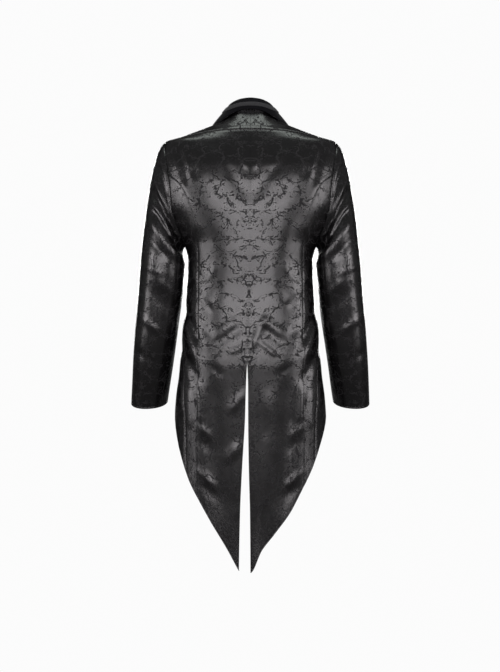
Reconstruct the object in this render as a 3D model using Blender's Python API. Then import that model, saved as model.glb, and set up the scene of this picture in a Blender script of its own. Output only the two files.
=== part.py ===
"""Black tailcoat, hollow and open as worn, cut in panels of cloth wall.

Metres, +Z up. The origin is at the middle of the neck, level with the shoulders, where the wearer's
neck and shoulders hold the coat. The front faces -Y and the wearer's left is +X.

Every panel lies on one trunk surface or on one sleeve surface, so neighbouring panels meet at their
seams. A point of the trunk is named by its angle (0 at the centre back, 90 at the side, 180 at the
centre front) and its height. A point of a sleeve is named by its angle round the tube (0 outwards,
90 at the back, 180 inwards) and its place along the sleeve, 0 at the armhole and 1 at the cuff.
"""
import bisect
import math

import bmesh
import bpy
from mathutils import Vector

# Driving dimensions
WALL = 0.002
SEAM_GAP = 0.0003
NECK_GAP = 0.0005
LAY_GAP = 0.0008
SQUARENESS = 2.4
SLEEVE_SQUARENESS = 2.15

# Level sections of the trunk
# height, half width, back depth, front depth
TRUNK = (
    (0.034, 0.0505, 0.0490, 0.0400),
    (0.020, 0.0545, 0.0530, 0.0430),
    (0.010, 0.0660, 0.0570, 0.0465),
    (0.000, 0.0870, 0.0625, 0.0500),
    (-0.010, 0.1110, 0.0690, 0.0550),
    (-0.022, 0.1430, 0.0760, 0.0610),
    (-0.034, 0.1770, 0.0830, 0.0680),
    (-0.045, 0.2095, 0.0890, 0.0740),
    (-0.060, 0.2180, 0.0960, 0.0810),
    (-0.085, 0.2250, 0.1050, 0.0900),
    (-0.115, 0.2260, 0.1120, 0.0990),
    (-0.155, 0.2230, 0.1160, 0.1070),
    (-0.200, 0.2150, 0.1160, 0.1120),
    (-0.250, 0.1910, 0.1130, 0.1150),
    (-0.300, 0.1620, 0.1070, 0.1130),
    (-0.353, 0.1545, 0.1000, 0.1090),
    (-0.420, 0.1580, 0.0950, 0.1050),
    (-0.480, 0.1640, 0.0980, 0.1050),
    (-0.540, 0.1700, 0.1070, 0.1080),
    (-0.605, 0.1750, 0.1180, 0.1110),
    (-0.680, 0.1840, 0.1250, 0.1130),
    (-0.740, 0.1870, 0.1260, 0.1140),
    (-1.120, 0.1890, 0.1180, 0.1140),
)

# Armhole oval
ARMHOLE_TOP = -0.045
ARMHOLE_BOTTOM = -0.300
ARMHOLE_RISE = 0.0145
ARMHOLE_BACK = 0.066
ARMHOLE_FRONT = 0.060
RING_STEP = 15
YOKE_RING = 15
SIDE_BACK_RING = 75

# Centre back seam, and how far each panel's edge stands back from it in the vent
# height, seam's place across the back, left edge, right edge
CENTRE_BACK = (
    (0.040, 0.0000, 0.0000, 0.0000),
    (-0.150, 0.0006, 0.0000, 0.0000),
    (-0.400, 0.0035, 0.0000, 0.0000),
    (-0.590, 0.0079, 0.0000, 0.0000),
    (-0.640, 0.0083, 0.0024, 0.0023),
    (-0.720, 0.0090, 0.0042, 0.0034),
    (-0.840, 0.0112, 0.0091, 0.0072),
    (-0.950, 0.0130, 0.0122, 0.0118),
    (-1.120, 0.0140, 0.0140, 0.0140),
)

# Seam from the back of the armhole down into the tail
# height, place across the back
PRINCESS = (
    (-0.126, 0.2005),
    (-0.148, 0.1760),
    (-0.185, 0.1530),
    (-0.255, 0.1325),
    (-0.333, 0.1270),
    (-0.540, 0.1285),
    (-0.720, 0.1290),
    (-1.120, 0.1280),
)

# Side seam, from the armhole bottom into the tail
# height, angle in degrees
SIDE_SEAM = (
    (-0.300, 90.0),
    (-0.420, 86.0),
    (-0.540, 78.0),
    (-0.640, 68.0),
    (-0.740, 63.0),
    (-1.120, 62.0),
)

# Lower edge, from the tail tips round the side to the closing
# angle in degrees, left height, right height
HEM = (
    (0.0, -1.130, -1.091),
    (13.0, -1.088, -1.038),
    (26.5, -1.032, -0.998),
    (40.0, -0.975, -0.951),
    (51.0, -0.920, -0.893),
    (61.0, -0.866, -0.837),
    (69.0, -0.811, -0.787),
    (79.0, -0.751, -0.740),
    (90.0, -0.705, -0.705),
    (110.0, -0.640, -0.640),
    (130.0, -0.575, -0.575),
    (150.0, -0.515, -0.515),
    (170.0, -0.462, -0.462),
    (192.0, -0.435, -0.435),
)
HEM_TOP = -0.40

# Yoke seam across the back
# place across the back, height
YOKE_SEAM = (
    (0.000, -0.0235),
    (0.060, -0.0235),
    (0.083, -0.0240),
    (0.120, -0.0285),
    (0.152, -0.0345),
    (0.180, -0.0410),
    (0.2085, -0.0483),
)

# Neck seam and collar, by angle from the centre back
# angle, seam height, rise to the fold, edge distance from the axis, edge height
COLLAR = (
    (0.0, 0.0300, 0.0235, 0.0570, 0.0260),
    (25.0, 0.0298, 0.0225, 0.0590, 0.0235),
    (50.0, 0.0285, 0.0205, 0.0680, 0.0165),
    (70.0, 0.0268, 0.0190, 0.0820, 0.0085),
    (90.0, 0.0235, 0.0170, 0.0950, 0.0010),
    (108.0, 0.0170, 0.0140, 0.1000, -0.0020),
    (124.0, 0.0040, 0.0110, 0.0970, -0.0145),
)
COLLAR_END = 124.0
COLLAR_ROLL = 0.0031
COLLAR_BELLY = 0.0015

# Front edge of the upper fronts, where the lapel turns back
# height, place across the front
FRONT_EDGE = (
    (0.004, 0.0600),
    (-0.015, 0.0720),
    (-0.040, 0.0770),
    (-0.090, 0.0730),
    (-0.160, 0.0560),
    (-0.250, 0.0250),
    (-0.350, -0.0180),
    (-0.500, -0.0180),
)
FRONT_TOP_ANGLE = 99.0
SHOULDER_SEAM_ARM = -0.0155
UNDERLAP_INSET = 0.0032
UNDERLAP_START = 0.052
UNDERLAP_FULL = 0.030

# Sleeve rings below the cap
# place along the sleeve, outer x, outer z, inner x, inner z, middle y, half depth, drop of the back
SLEEVE = (
    (0.30, 0.2610, -0.235, 0.1600, -0.342, 0.002, 0.0690, 0.000),
    (0.42, 0.2700, -0.320, 0.1640, -0.388, 0.003, 0.0680, 0.000),
    (0.56, 0.2790, -0.425, 0.1710, -0.446, 0.000, 0.0640, 0.002),
    (0.72, 0.2880, -0.530, 0.1840, -0.535, -0.014, 0.0590, 0.007),
    (0.86, 0.2945, -0.620, 0.1965, -0.618, -0.036, 0.0530, 0.012),
    (1.00, 0.2985, -0.689, 0.2070, -0.684, -0.056, 0.0475, 0.015),
)
CAP_END = 0.30
HIND_SEAM = 135
FORE_SEAM = 240
SLEEVE_RADIUS = 0.055

# How the sleeve cap leaves the armhole and reaches the first ring, at its top and at the armpit
CAP_LEAVE_TOP = (0.090, 0.0, -0.030)
CAP_LEAVE_ARMPIT = (0.024, 0.0, -0.040)
CAP_LEAVE_BACK = 0.012
CAP_ARRIVE_TOP = 0.24
CAP_ARRIVE_ARMPIT = 0.12

# Folds of the back, ridges above 0 and troughs below; they fade out towards the front
# x and z of one end, x and z of the other, half width, height, side (0 both, 1 left, -1 right)
FOLDS_NONE_AT = -0.45
FOLDS_WHOLE_AT = 0.05
BACK_FOLDS = (
    (0.086, -0.523, 0.026, -0.474, 0.010, 0.0045, 0),
    (0.090, -0.546, 0.018, -0.497, 0.010, -0.0040, 0),
    (0.112, -0.470, 0.084, -0.408, 0.017, -0.0035, 0),
    (0.118, -0.498, 0.098, -0.518, 0.013, -0.0035, 0),
    (0.126, -0.572, 0.062, -0.588, 0.018, 0.0035, 0),
    (0.003, -0.550, 0.034, -0.476, 0.009, 0.0030, -1),
    (0.164, -0.446, 0.126, -0.538, 0.010, -0.0065, 0),
    (0.174, -0.541, 0.128, -0.630, 0.012, -0.0075, 0),
    (0.160, -0.490, 0.130, -0.575, 0.012, 0.0035, 0),
    (0.171, -0.070, 0.152, -0.155, 0.009, -0.0030, 0),
    (0.146, -0.065, 0.134, -0.140, 0.008, -0.0025, 0),
    (0.072, -0.096, 0.006, -0.190, 0.015, -0.0035, 0),
    (0.024, -0.084, 0.010, -0.120, 0.006, 0.0018, 0),
    (0.128, -0.640, 0.124, -0.830, 0.013, 0.0050, 0),
    (0.050, -0.655, 0.024, -0.720, 0.014, 0.0035, 0),
    (0.085, -0.640, 0.078, -0.940, 0.018, -0.0045, 0),
    (0.118, -0.850, 0.090, -0.930, 0.012, 0.0035, 0),
)

# Folds of the sleeves
# x and z of one end, x and z of the other, half width, height, face (1 back, -1 front)
SLEEVE_FOLDS = (
    (0.232, -0.095, 0.192, -0.198, 0.008, -0.0050, 1),
    (0.246, -0.160, 0.174, -0.276, 0.009, -0.0065, 1),
    (0.236, -0.215, 0.166, -0.316, 0.008, -0.0050, 1),
    (0.250, -0.236, 0.180, -0.332, 0.011, 0.0050, 1),
    (0.226, -0.378, 0.200, -0.416, 0.011, 0.0035, 1),
    (0.262, -0.400, 0.190, -0.456, 0.012, -0.0035, 1),
    (0.240, -0.110, 0.196, -0.210, 0.009, -0.0045, -1),
    (0.246, -0.180, 0.178, -0.280, 0.010, -0.0055, -1),
    (0.262, -0.405, 0.180, -0.432, 0.009, -0.0050, -1),
    (0.268, -0.440, 0.184, -0.462, 0.009, -0.0045, -1),
    (0.274, -0.480, 0.190, -0.492, 0.010, -0.0035, -1),
)

# Grid sizes
SIDE_BACK_DROP = 0.006
BACK_COLUMNS = 9
SIDE_COLUMNS = 4
FRONT_COLUMNS = 7
YOKE_ROWS = 6
NECK_COLUMNS = 5
SKIRT_BREAK = -0.720
BODY_ROWS = 20
TAIL_ROWS = 7
FRONT_NECK_ROWS = 3
FRONT_TOP_ROWS = 3
CAP_ROWS = 8
ARM_ROWS = 12
COLLAR_COLUMNS = 26
COLLAR_STEP = 2 * COLLAR_END / COLLAR_COLUMNS
STAND_ROWS = 1
ROLL_ROWS = 4
LEAF_ROWS = 3

# Lapel
# height, width as a part of the front's width
LAPEL = (
    (0.000, 0.40),
    (-0.060, 0.52),
    (-0.110, 0.46),
    (-0.200, 0.34),
    (-0.300, 0.13),
)
LAPEL_COLUMNS = 4
LAPEL_FIRST_ROW = FRONT_NECK_ROWS + 2
LAPEL_LAST_ROW = FRONT_NECK_ROWS + FRONT_TOP_ROWS + 10

# Grey band on the collar
# angle, upper edge and lower edge as parts of the leaf
BAND = (
    (0.0, 0.34, 0.68),
    (60.0, 0.27, 0.58),
    (90.0, 0.20, 0.46),
    (112.0, 0.16, 0.30),
)
BAND_WALL = 0.001
BAND_COLUMNS = 22

# Buttons
BUTTON_RADIUS = 0.0095
BUTTON_THICKNESS = 0.0035
BUTTON_HEIGHTS = {"button_upper": -0.362, "button_lower": -0.412}

# Colours and roughness: satin jacquard, velvet, grey band, button
CLOTH = ("satin_jacquard", (0.030, 0.029, 0.031, 1.0), 0.42)
VELVET = ("velvet", (0.006, 0.006, 0.007, 1.0), 0.90)
GREY = ("grey_band", (0.060, 0.060, 0.062, 1.0), 0.70)
HORN = ("button_horn", (0.010, 0.010, 0.010, 1.0), 0.25)


def read(table, key, column):
    """Smooth value of one column at a key; rows may rise or fall in their first column."""
    rows = table if table[0][0] < table[-1][0] else table[::-1]
    keys = [row[0] for row in rows]
    values = [row[column] for row in rows]
    if key <= keys[0]:
        return values[0]
    if key >= keys[-1]:
        return values[-1]
    i = bisect.bisect_right(keys, key) - 1

    def slope(j):
        if j == 0 or j == len(keys) - 1:
            return 0.0
        before = (values[j] - values[j - 1]) / (keys[j] - keys[j - 1])
        after = (values[j + 1] - values[j]) / (keys[j + 1] - keys[j])
        if before * after <= 0:
            return 0.0
        return 2 * before * after / (before + after)

    span = keys[i + 1] - keys[i]
    t = (key - keys[i]) / span
    first = slope(i) * span
    last = slope(i + 1) * span
    start = (2 * t ** 3 - 3 * t ** 2 + 1) * values[i] + (t ** 3 - 2 * t ** 2 + t) * first
    return start + (3 * t ** 2 - 2 * t ** 3) * values[i + 1] + (t ** 3 - t ** 2) * last


def mix(a, b, t):
    return a + (b - a) * t


def smooth_step(low, high, value):
    t = min(max((value - low) / (high - low), 0.0), 1.0)
    return t * t * (3 - 2 * t)


def find(low, high, too_low, steps=40):
    """Value between low and high where too_low turns from true to false."""
    for _ in range(steps):
        middle = (low + high) / 2
        if too_low(middle):
            low = middle
        else:
            high = middle
    return (low + high) / 2


def fold_height(folds, x, z, chosen):
    """Sum of the folds at a place; chosen says whether a row applies there, from 0 to 1."""
    height = 0.0
    for ax, az, bx, bz, width, rise, mark in folds:
        weight = chosen(mark)
        if not weight:
            continue
        dx, dz = bx - ax, bz - az
        length = math.hypot(dx, dz)
        along = ((x - ax) * dx + (z - az) * dz) / length
        across = ((x - ax) * dz - (z - az) * dx) / length
        if abs(across) > 3 * width:
            continue
        start = smooth_step(-1.5 * width, 2.0 * width, along)
        end = smooth_step(-1.5 * width, 2.0 * width, length - along)
        height += weight * rise * start * end * math.exp(-(across / width) ** 2)
    return height


# Trunk surface

def other_side(across, half, depth):
    """Depth of a level section at a place across it, or its width at a depth."""
    part = max(1.0 - abs(across / half) ** SQUARENESS, 0.0)
    return depth * part ** (1 / SQUARENESS)


def trunk_base(angle, z):
    """Point of the smooth trunk at an angle in radians and a height."""
    sine, cosine = math.sin(angle), math.cos(angle)
    half = read(TRUNK, z, 1)
    depth = read(TRUNK, z, 2 if cosine > 0 else 3)
    total = abs(sine / half) ** SQUARENESS + abs(cosine / depth) ** SQUARENESS
    radius = total ** (-1 / SQUARENESS)
    return Vector((radius * sine, radius * cosine, z))


def trunk_normal(angle, z):
    step = 0.002
    around = trunk_base(angle + step, z) - trunk_base(angle - step, z)
    down = trunk_base(angle, z - step) - trunk_base(angle, z + step)
    return around.cross(down).normalized()


def trunk(angle, z, side, out=0.0):
    """Point of the left half of the trunk with its folds, moved out along the surface's normal."""
    base = trunk_base(angle, z)
    normal = trunk_normal(angle, z)
    shown = smooth_step(FOLDS_NONE_AT, FOLDS_WHOLE_AT, math.cos(angle))
    height = shown * fold_height(BACK_FOLDS, base.x, z, lambda mark: mark in (0, side))
    return base + normal * (height + out)


def angle_across(x, z, front=False):
    """Angle of the point at a place across the back, or across the front."""
    half = read(TRUNK, z, 1)
    depth = read(TRUNK, z, 3 if front else 2)
    turn = math.atan2(x, other_side(x, half, depth))
    return math.pi - turn if front else turn


def top_height(x, y):
    """Height of the trunk over a point of the plan."""
    def inside(z):
        depth = read(TRUNK, z, 2 if y > 0 else 3)
        return abs(x / read(TRUNK, z, 1)) ** SQUARENESS + abs(y / depth) ** SQUARENESS < 1.0
    return find(ARMHOLE_BOTTOM, TRUNK[0][0], inside)


# Armhole and sleeve surface

def ring_height(ring):
    """Height of the armhole at an angle round it, in radians."""
    middle = (ARMHOLE_TOP + ARMHOLE_BOTTOM) / 2
    reach = (ARMHOLE_TOP - ARMHOLE_BOTTOM) / 2
    return middle + reach * math.cos(ring) + ARMHOLE_RISE * math.sin(ring) ** 2


def armhole(ring):
    """Point of the armhole, and its angle on the trunk."""
    z = ring_height(ring)
    sine = math.sin(ring)
    y = sine * (ARMHOLE_BACK if sine > 0 else ARMHOLE_FRONT)
    depth = read(TRUNK, z, 2 if sine > 0 else 3)
    x = other_side(y, depth, read(TRUNK, z, 1))
    return Vector((x, y, z)), math.atan2(x, y)


def ring_at(z):
    """Angle round the back of the armhole at a height."""
    return find(0.0, math.pi, lambda ring: ring_height(ring) > z)


def armhole_angle(z, front):
    ring = ring_at(z)
    return armhole(-ring if front else ring)[1]


def sleeve_ring(ring, place):
    outer = Vector((read(SLEEVE, place, 1), 0.0, read(SLEEVE, place, 2)))
    inner = Vector((read(SLEEVE, place, 3), 0.0, read(SLEEVE, place, 4)))
    centre = (outer + inner) / 2
    centre.y = read(SLEEVE, place, 5)
    power = 2 / SLEEVE_SQUARENESS
    cosine, sine = math.cos(ring), math.sin(ring)
    across = math.copysign(abs(cosine) ** power, cosine)
    back = math.copysign(abs(sine) ** power, sine)
    depth = Vector((0.0, read(SLEEVE, place, 6), -read(SLEEVE, place, 7)))
    return centre + (outer - inner) / 2 * across + depth * back


def sleeve_base(ring, place):
    """Point of the smooth sleeve; the cap is a curve from the armhole to the first ring."""
    if place >= CAP_END:
        return sleeve_ring(ring, place)
    start = armhole(ring)[0]
    end = sleeve_ring(ring, CAP_END)
    low = (1 - math.cos(ring)) / 2
    leave = Vector(CAP_LEAVE_TOP).lerp(Vector(CAP_LEAVE_ARMPIT), low)
    leave.y += CAP_LEAVE_BACK * math.sin(ring)
    start.x += SEAM_GAP
    step = 0.01
    arrive = (sleeve_ring(ring, CAP_END + step) - end) / step
    arrive *= mix(CAP_ARRIVE_TOP, CAP_ARRIVE_ARMPIT, low)
    t = max(place, 0.0) / CAP_END
    point = start * (2 * t ** 3 - 3 * t ** 2 + 1) + leave * (t ** 3 - 2 * t ** 2 + t)
    return point + end * (3 * t ** 2 - 2 * t ** 3) + arrive * (t ** 3 - t ** 2)


def sleeve(ring, place, side, out=0.0):
    """Point of the left sleeve with its folds, moved out along the surface's normal."""
    step = 0.004
    base = sleeve_base(ring, place)
    around = sleeve_base(ring + step, place) - sleeve_base(ring - step, place)
    low = max(place - step, 0.0)
    high = min(place + step, 1.0)
    along = sleeve_base(ring, high) - sleeve_base(ring, low)
    normal = along.cross(around).normalized()
    sine = math.sin(ring)

    def chosen(mark):
        return smooth_step(-0.1, 0.5, mark * sine)
    height = fold_height(SLEEVE_FOLDS, base.x, base.z, chosen) * smooth_step(0.0, 0.06, place)
    return base + normal * (height + out)


# Collar surface

def neck_seam(angle, out=0.0):
    """Point of the neck seam on the trunk, by angle in degrees."""
    z = read(COLLAR, angle, 1)
    return trunk_base(math.radians(angle), z) + trunk_normal(math.radians(angle), z) * out


def collar(angle, row, out=0.0):
    """Point of the collar: row 0 to 1 is the stand, 1 to 2 the roll, 2 to 3 the leaf."""
    turn = math.radians(abs(angle))
    seam = neck_seam(abs(angle), -WALL)
    outward = Vector((math.sin(turn), math.cos(turn), 0.0))
    at_seam = trunk_normal(turn, read(COLLAR, abs(angle), 1))
    seam.z += NECK_GAP
    fold = seam + Vector((0.0, 0.0, read(COLLAR, abs(angle), 2)))
    edge = outward * read(COLLAR, abs(angle), 3)
    edge.z = read(COLLAR, abs(angle), 4)
    centre = fold + outward * COLLAR_ROLL
    leaf = (edge - centre - outward * COLLAR_ROLL).normalized()
    away = (outward - leaf * outward.dot(leaf)).normalized()
    end_turn = math.atan2(away.z, away.dot(outward))
    if row <= 1:
        point = seam.lerp(fold, row)
        normal = -at_seam.lerp(outward, row)
    elif row <= 2:
        swing = mix(math.pi, end_turn, row - 1)
        normal = outward * math.cos(swing) + Vector((0.0, 0.0, math.sin(swing)))
        point = centre + normal * COLLAR_ROLL
    else:
        start = centre + away * COLLAR_ROLL
        normal = away
        belly = COLLAR_BELLY * math.sin(math.pi * (row - 2))
        point = start.lerp(edge, row - 2) + away * belly
    point = point + normal * out
    point.x = math.copysign(point.x, angle) if angle else 0.0
    return point


# Meshes

def finish(name, mesh, finish_of):
    """Object in the part's collection, with its own material."""
    label, colour, roughness = finish_of
    material = bpy.data.materials.new(f"{name}_{label}")
    material.use_nodes = True
    shader = material.node_tree.nodes["Principled BSDF"]
    shader.inputs["Base Color"].default_value = colour
    shader.inputs["Roughness"].default_value = roughness
    mesh.materials.append(material)
    mesh.shade_smooth()
    mesh.set_sharp_from_angle(angle=math.radians(40))
    piece = bpy.data.objects.new(name, mesh)
    bpy.data.collections["tailcoat"].objects.link(piece)
    return piece


def shell(name, columns, rows, place, finish_of, side=1, wall=WALL):
    """Closed cloth wall: a grid and its lowered copy, both set by place(column, row, out)."""
    bm = bmesh.new()
    bmesh.ops.create_grid(bm, x_segments=columns, y_segments=rows, size=0.5)
    grown = bmesh.ops.extrude_face_region(bm, geom=bm.faces[:], use_keep_orig=True)
    for item in grown["geom"]:
        if isinstance(item, bmesh.types.BMVert):
            item.co.z = -1.0
    for vertex in bm.verts:
        column = round((vertex.co.x + 0.5) * columns)
        row = round((vertex.co.y + 0.5) * rows)
        out = -wall if vertex.co.z < -0.5 else 0.0
        vertex.co = place(column, row, out)
        vertex.co.x *= side
    bmesh.ops.recalc_face_normals(bm, faces=bm.faces)
    if bm.calc_volume(signed=True) < 0:
        bmesh.ops.reverse_faces(bm, faces=bm.faces)
    mesh = bpy.data.meshes.new(name)
    bm.to_mesh(mesh)
    bm.free()
    return finish(name, mesh, finish_of)


def spaced(start, end, count):
    """Heights after start, in equal steps down to end."""
    return [mix(start, end, (i + 1) / count) for i in range(count)]


def armhole_levels(first, last):
    return [ring_height(math.radians(ring)) for ring in range(first, last + 1, RING_STEP)]


SIDE_NAMES = {1: "left", -1: "right"}
SPLIT = ring_height(math.radians(SIDE_BACK_RING))


def centre_angle(z, side):
    """Angle of a back panel's inner edge; the right half is built mirrored."""
    x = read(CENTRE_BACK, z, 1) * side + read(CENTRE_BACK, z, 2 if side > 0 else 3)
    return angle_across(x + SEAM_GAP / 2, z)


def princess_angle(z):
    return angle_across(read(PRINCESS, z, 1), z)


def side_angle(z):
    return math.radians(read(SIDE_SEAM, z, 1))


def hem_height(angle, side):
    return read(HEM, math.degrees(angle), 1 if side > 0 else 2)


def column_bottom(angle_of, side):
    """Height where a column meets the lower edge."""
    return find(HEM[0][1], HEM_TOP, lambda z: z < hem_height(angle_of(z), side))


def gap_turn(angle, z):
    """Half of the seam gap as an angle."""
    return SEAM_GAP / 2 / trunk_base(angle, z).length


def back_outer(z):
    angle = armhole_angle(z, False) if z > SPLIT else princess_angle(z)
    return angle - gap_turn(angle, z)


def side_back_outer(z):
    angle = armhole_angle(z, False) if z > ARMHOLE_BOTTOM else side_angle(z)
    return angle - gap_turn(angle, z)


def yoke_seam_point(share):
    """Point of the yoke seam at a share of the way from the centre back to the armhole."""
    x = mix(SEAM_GAP / 2, YOKE_SEAM[-1][0] - SEAM_GAP / 2, share)
    return x, read(YOKE_SEAM, x, 1)


def back_heights(share, side):
    """Heights of one column of the back, top to bottom."""
    top = yoke_seam_point(share)[1] - SEAM_GAP
    ring_levels = armhole_levels(YOKE_RING, SIDE_BACK_RING)
    span = ring_levels[0] - SPLIT
    heights = [mix(top, SPLIT, (ring_levels[0] - level) / span) for level in ring_levels]
    heights += armhole_levels(SIDE_BACK_RING + RING_STEP, 180)
    heights += spaced(ARMHOLE_BOTTOM, SKIRT_BREAK, BODY_ROWS)

    def column_angle(z):
        return mix(centre_angle(z, side), back_outer(z), share)
    return heights + spaced(SKIRT_BREAK, column_bottom(column_angle, side), TAIL_ROWS)


def make_back(side):
    columns = [back_heights(i / BACK_COLUMNS, side) for i in range(BACK_COLUMNS + 1)]
    rows = len(columns[0]) - 1

    def place(column, row, out):
        z = columns[column][row]
        share = column / BACK_COLUMNS
        angle = mix(centre_angle(z, side), back_outer(z), share)
        if row == 0:
            angle = angle_across(yoke_seam_point(share)[0], z)
        return trunk(angle, z, side, out)
    return shell(f"back_{SIDE_NAMES[side]}", BACK_COLUMNS, rows, place, CLOTH, side)


def make_side_back(side):
    def heights(share):
        levels = [SPLIT - SIDE_BACK_DROP] + armhole_levels(SIDE_BACK_RING + RING_STEP, 180)
        levels += spaced(ARMHOLE_BOTTOM, SKIRT_BREAK, BODY_ROWS)

        def column_angle(z):
            return mix(princess_angle(z), side_back_outer(z), share)
        return levels + spaced(SKIRT_BREAK, column_bottom(column_angle, side), TAIL_ROWS)

    columns = [heights(i / SIDE_COLUMNS) for i in range(SIDE_COLUMNS + 1)]
    rows = len(columns[0]) - 1

    def place(column, row, out):
        z = columns[column][row]
        inner = princess_angle(z)
        inner += gap_turn(inner, z)
        return trunk(mix(inner, side_back_outer(z), column / SIDE_COLUMNS), z, side, out)
    return shell(f"side_back_{SIDE_NAMES[side]}", SIDE_COLUMNS, rows, place, CLOTH, side)


def shoulder_seam_y(x):
    """Place of the shoulder seam from back to front, on its way from the neck seam to the armhole."""
    neck = neck_seam(FRONT_TOP_ANGLE)
    return mix(neck.y, SHOULDER_SEAM_ARM, (x - neck.x) / (YOKE_SEAM[-1][0] - neck.x))


def front_outer(z):
    """Outer edge of a front: shoulder seam, then armhole, then side seam."""
    if z > ring_height(math.radians(YOKE_RING)):
        half, depth = read(TRUNK, z, 1), read(TRUNK, z, 3)
        y = shoulder_seam_y(half) - SEAM_GAP
        return math.atan2(other_side(y, depth, half), y)
    angle = armhole_angle(z, True) if z > ARMHOLE_BOTTOM else side_angle(z)
    return angle + gap_turn(angle, z)


def front_inner(z):
    """Inner edge of a front: neck seam, then the edge where the lapel turns back."""
    if z > COLLAR[-1][1]:
        return math.radians(find(90.0, COLLAR_END, lambda angle: read(COLLAR, angle, 1) > z))
    return angle_across(read(FRONT_EDGE, z, 1), z, True)


def front_angle(share, z):
    return mix(front_outer(z), front_inner(z), share)


def front_out(angle, z, side):
    """The right front lies under the left one where they overlap."""
    x = trunk_base(angle, z).x
    return 0.0 if side > 0 else -UNDERLAP_INSET * smooth_step(UNDERLAP_START, UNDERLAP_FULL, x)


def front_heights(share, side):
    neck = [FRONT_TOP_ANGLE]
    neck += [COLLAR_END - COLLAR_STEP * i for i in reversed(range(FRONT_NECK_ROWS))]
    levels = [read(COLLAR, angle, 1) - SEAM_GAP for angle in neck]
    levels += spaced(levels[-1], ring_height(math.radians(YOKE_RING)), FRONT_TOP_ROWS)
    levels += armhole_levels(YOKE_RING + RING_STEP, 180)
    bottom = column_bottom(lambda z: front_angle(share, z), side)
    side_bottom = column_bottom(lambda z: front_angle(0.0, z), side)
    edge = spaced(ARMHOLE_BOTTOM, SKIRT_BREAK, BODY_ROWS)
    edge += spaced(SKIRT_BREAK, side_bottom, TAIL_ROWS)
    span = ARMHOLE_BOTTOM - side_bottom
    return levels + [mix(ARMHOLE_BOTTOM, bottom, (ARMHOLE_BOTTOM - z) / span) for z in edge]


def make_front(side):
    columns = [front_heights(i / FRONT_COLUMNS, side) for i in range(FRONT_COLUMNS + 1)]
    rows = len(columns[0]) - 1

    def place(column, row, out):
        z = columns[column][row]
        angle = front_angle(column / FRONT_COLUMNS, z)
        return trunk(angle, z, side, out + front_out(angle, z, side))
    return shell(f"front_{SIDE_NAMES[side]}", FRONT_COLUMNS, rows, place, CLOTH, side)


def make_yoke(side):
    columns = BACK_COLUMNS

    def plan(column):
        """Plan points of the yoke seam and of the opposite edge for one column."""
        share = column / columns
        x, z = yoke_seam_point(share)
        half, depth = read(TRUNK, z, 1), read(TRUNK, z, 2)
        low = Vector((x, other_side(x, half, depth)))
        if column < NECK_COLUMNS:
            high = neck_seam(2 * COLLAR_STEP * column).xy
            high.x = max(high.x, SEAM_GAP / 2)
        else:
            past = (column - NECK_COLUMNS) / (columns - NECK_COLUMNS)
            x = mix(neck_seam(FRONT_TOP_ANGLE).x, YOKE_SEAM[-1][0], past)
            high = Vector((x, shoulder_seam_y(x)))
        return low, high

    edges = [plan(column) for column in range(columns + 1)]

    def place(column, row, out):
        low, high = edges[column]
        spot = low.lerp(high, row / YOKE_ROWS)
        z = top_height(spot.x, spot.y)
        return trunk(math.atan2(spot.x, spot.y), z, side, out)
    return shell(f"yoke_{SIDE_NAMES[side]}", columns, YOKE_ROWS, place, CLOTH, side)


def make_sleeve(name, first, last, side):
    columns = (last - first) // RING_STEP
    half_gap = SEAM_GAP / 2 / SLEEVE_RADIUS

    def place(column, row, out):
        ring = math.radians(first + column * RING_STEP)
        if column == 0:
            ring += half_gap
        if column == columns:
            ring -= half_gap
        if row <= CAP_ROWS:
            spot = CAP_END * row / CAP_ROWS
        else:
            spot = mix(CAP_END, 1.0, (row - CAP_ROWS) / ARM_ROWS)
        return sleeve(ring, spot, side, out)
    return shell(f"{name}_{SIDE_NAMES[side]}", columns, CAP_ROWS + ARM_ROWS, place, CLOTH, side)


def make_collar():
    rows = STAND_ROWS + ROLL_ROWS + LEAF_ROWS

    def place(column, row, out):
        angle = mix(-COLLAR_END, COLLAR_END, column / COLLAR_COLUMNS)
        if row <= STAND_ROWS:
            spot = row / STAND_ROWS
        elif row <= STAND_ROWS + ROLL_ROWS:
            spot = 1 + (row - STAND_ROWS) / ROLL_ROWS
        else:
            spot = 2 + (row - STAND_ROWS - ROLL_ROWS) / LEAF_ROWS
        return collar(angle, spot, out)
    return shell("collar", COLLAR_COLUMNS, rows, place, VELVET)


def make_collar_band():
    """Strip that lies on the collar's leaf, from the collar's points moved out."""
    first = (COLLAR_COLUMNS - BAND_COLUMNS) // 2

    def place(column, row, out):
        angle = mix(-COLLAR_END, COLLAR_END, (column + first) / COLLAR_COLUMNS)
        spot = mix(read(BAND, abs(angle), 1), read(BAND, abs(angle), 2), row)
        return collar(angle, 2 + spot, BAND_WALL + LAY_GAP + out)
    return shell("collar_band", BAND_COLUMNS, 1, place, GREY, wall=BAND_WALL)


def make_lapel(side):
    """Lapel that lies on the front, from the front's points moved out."""
    levels = front_heights(1.0, side)

    def place(column, row, out):
        z = levels[LAPEL_FIRST_ROW + row]
        share = 1.0 - read(LAPEL, z, 1) * column / LAPEL_COLUMNS
        spot = min(int(share * FRONT_COLUMNS), FRONT_COLUMNS - 1)
        ends = []
        for near in (spot, spot + 1):
            angle = front_angle(near / FRONT_COLUMNS, z)
            ends.append(trunk(angle, z, side, WALL + LAY_GAP + out + front_out(angle, z, side)))
        return ends[0].lerp(ends[1], share * FRONT_COLUMNS - spot)
    rows = LAPEL_LAST_ROW - LAPEL_FIRST_ROW
    return shell(f"lapel_{SIDE_NAMES[side]}", LAPEL_COLUMNS, rows, place, CLOTH, side)


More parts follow.
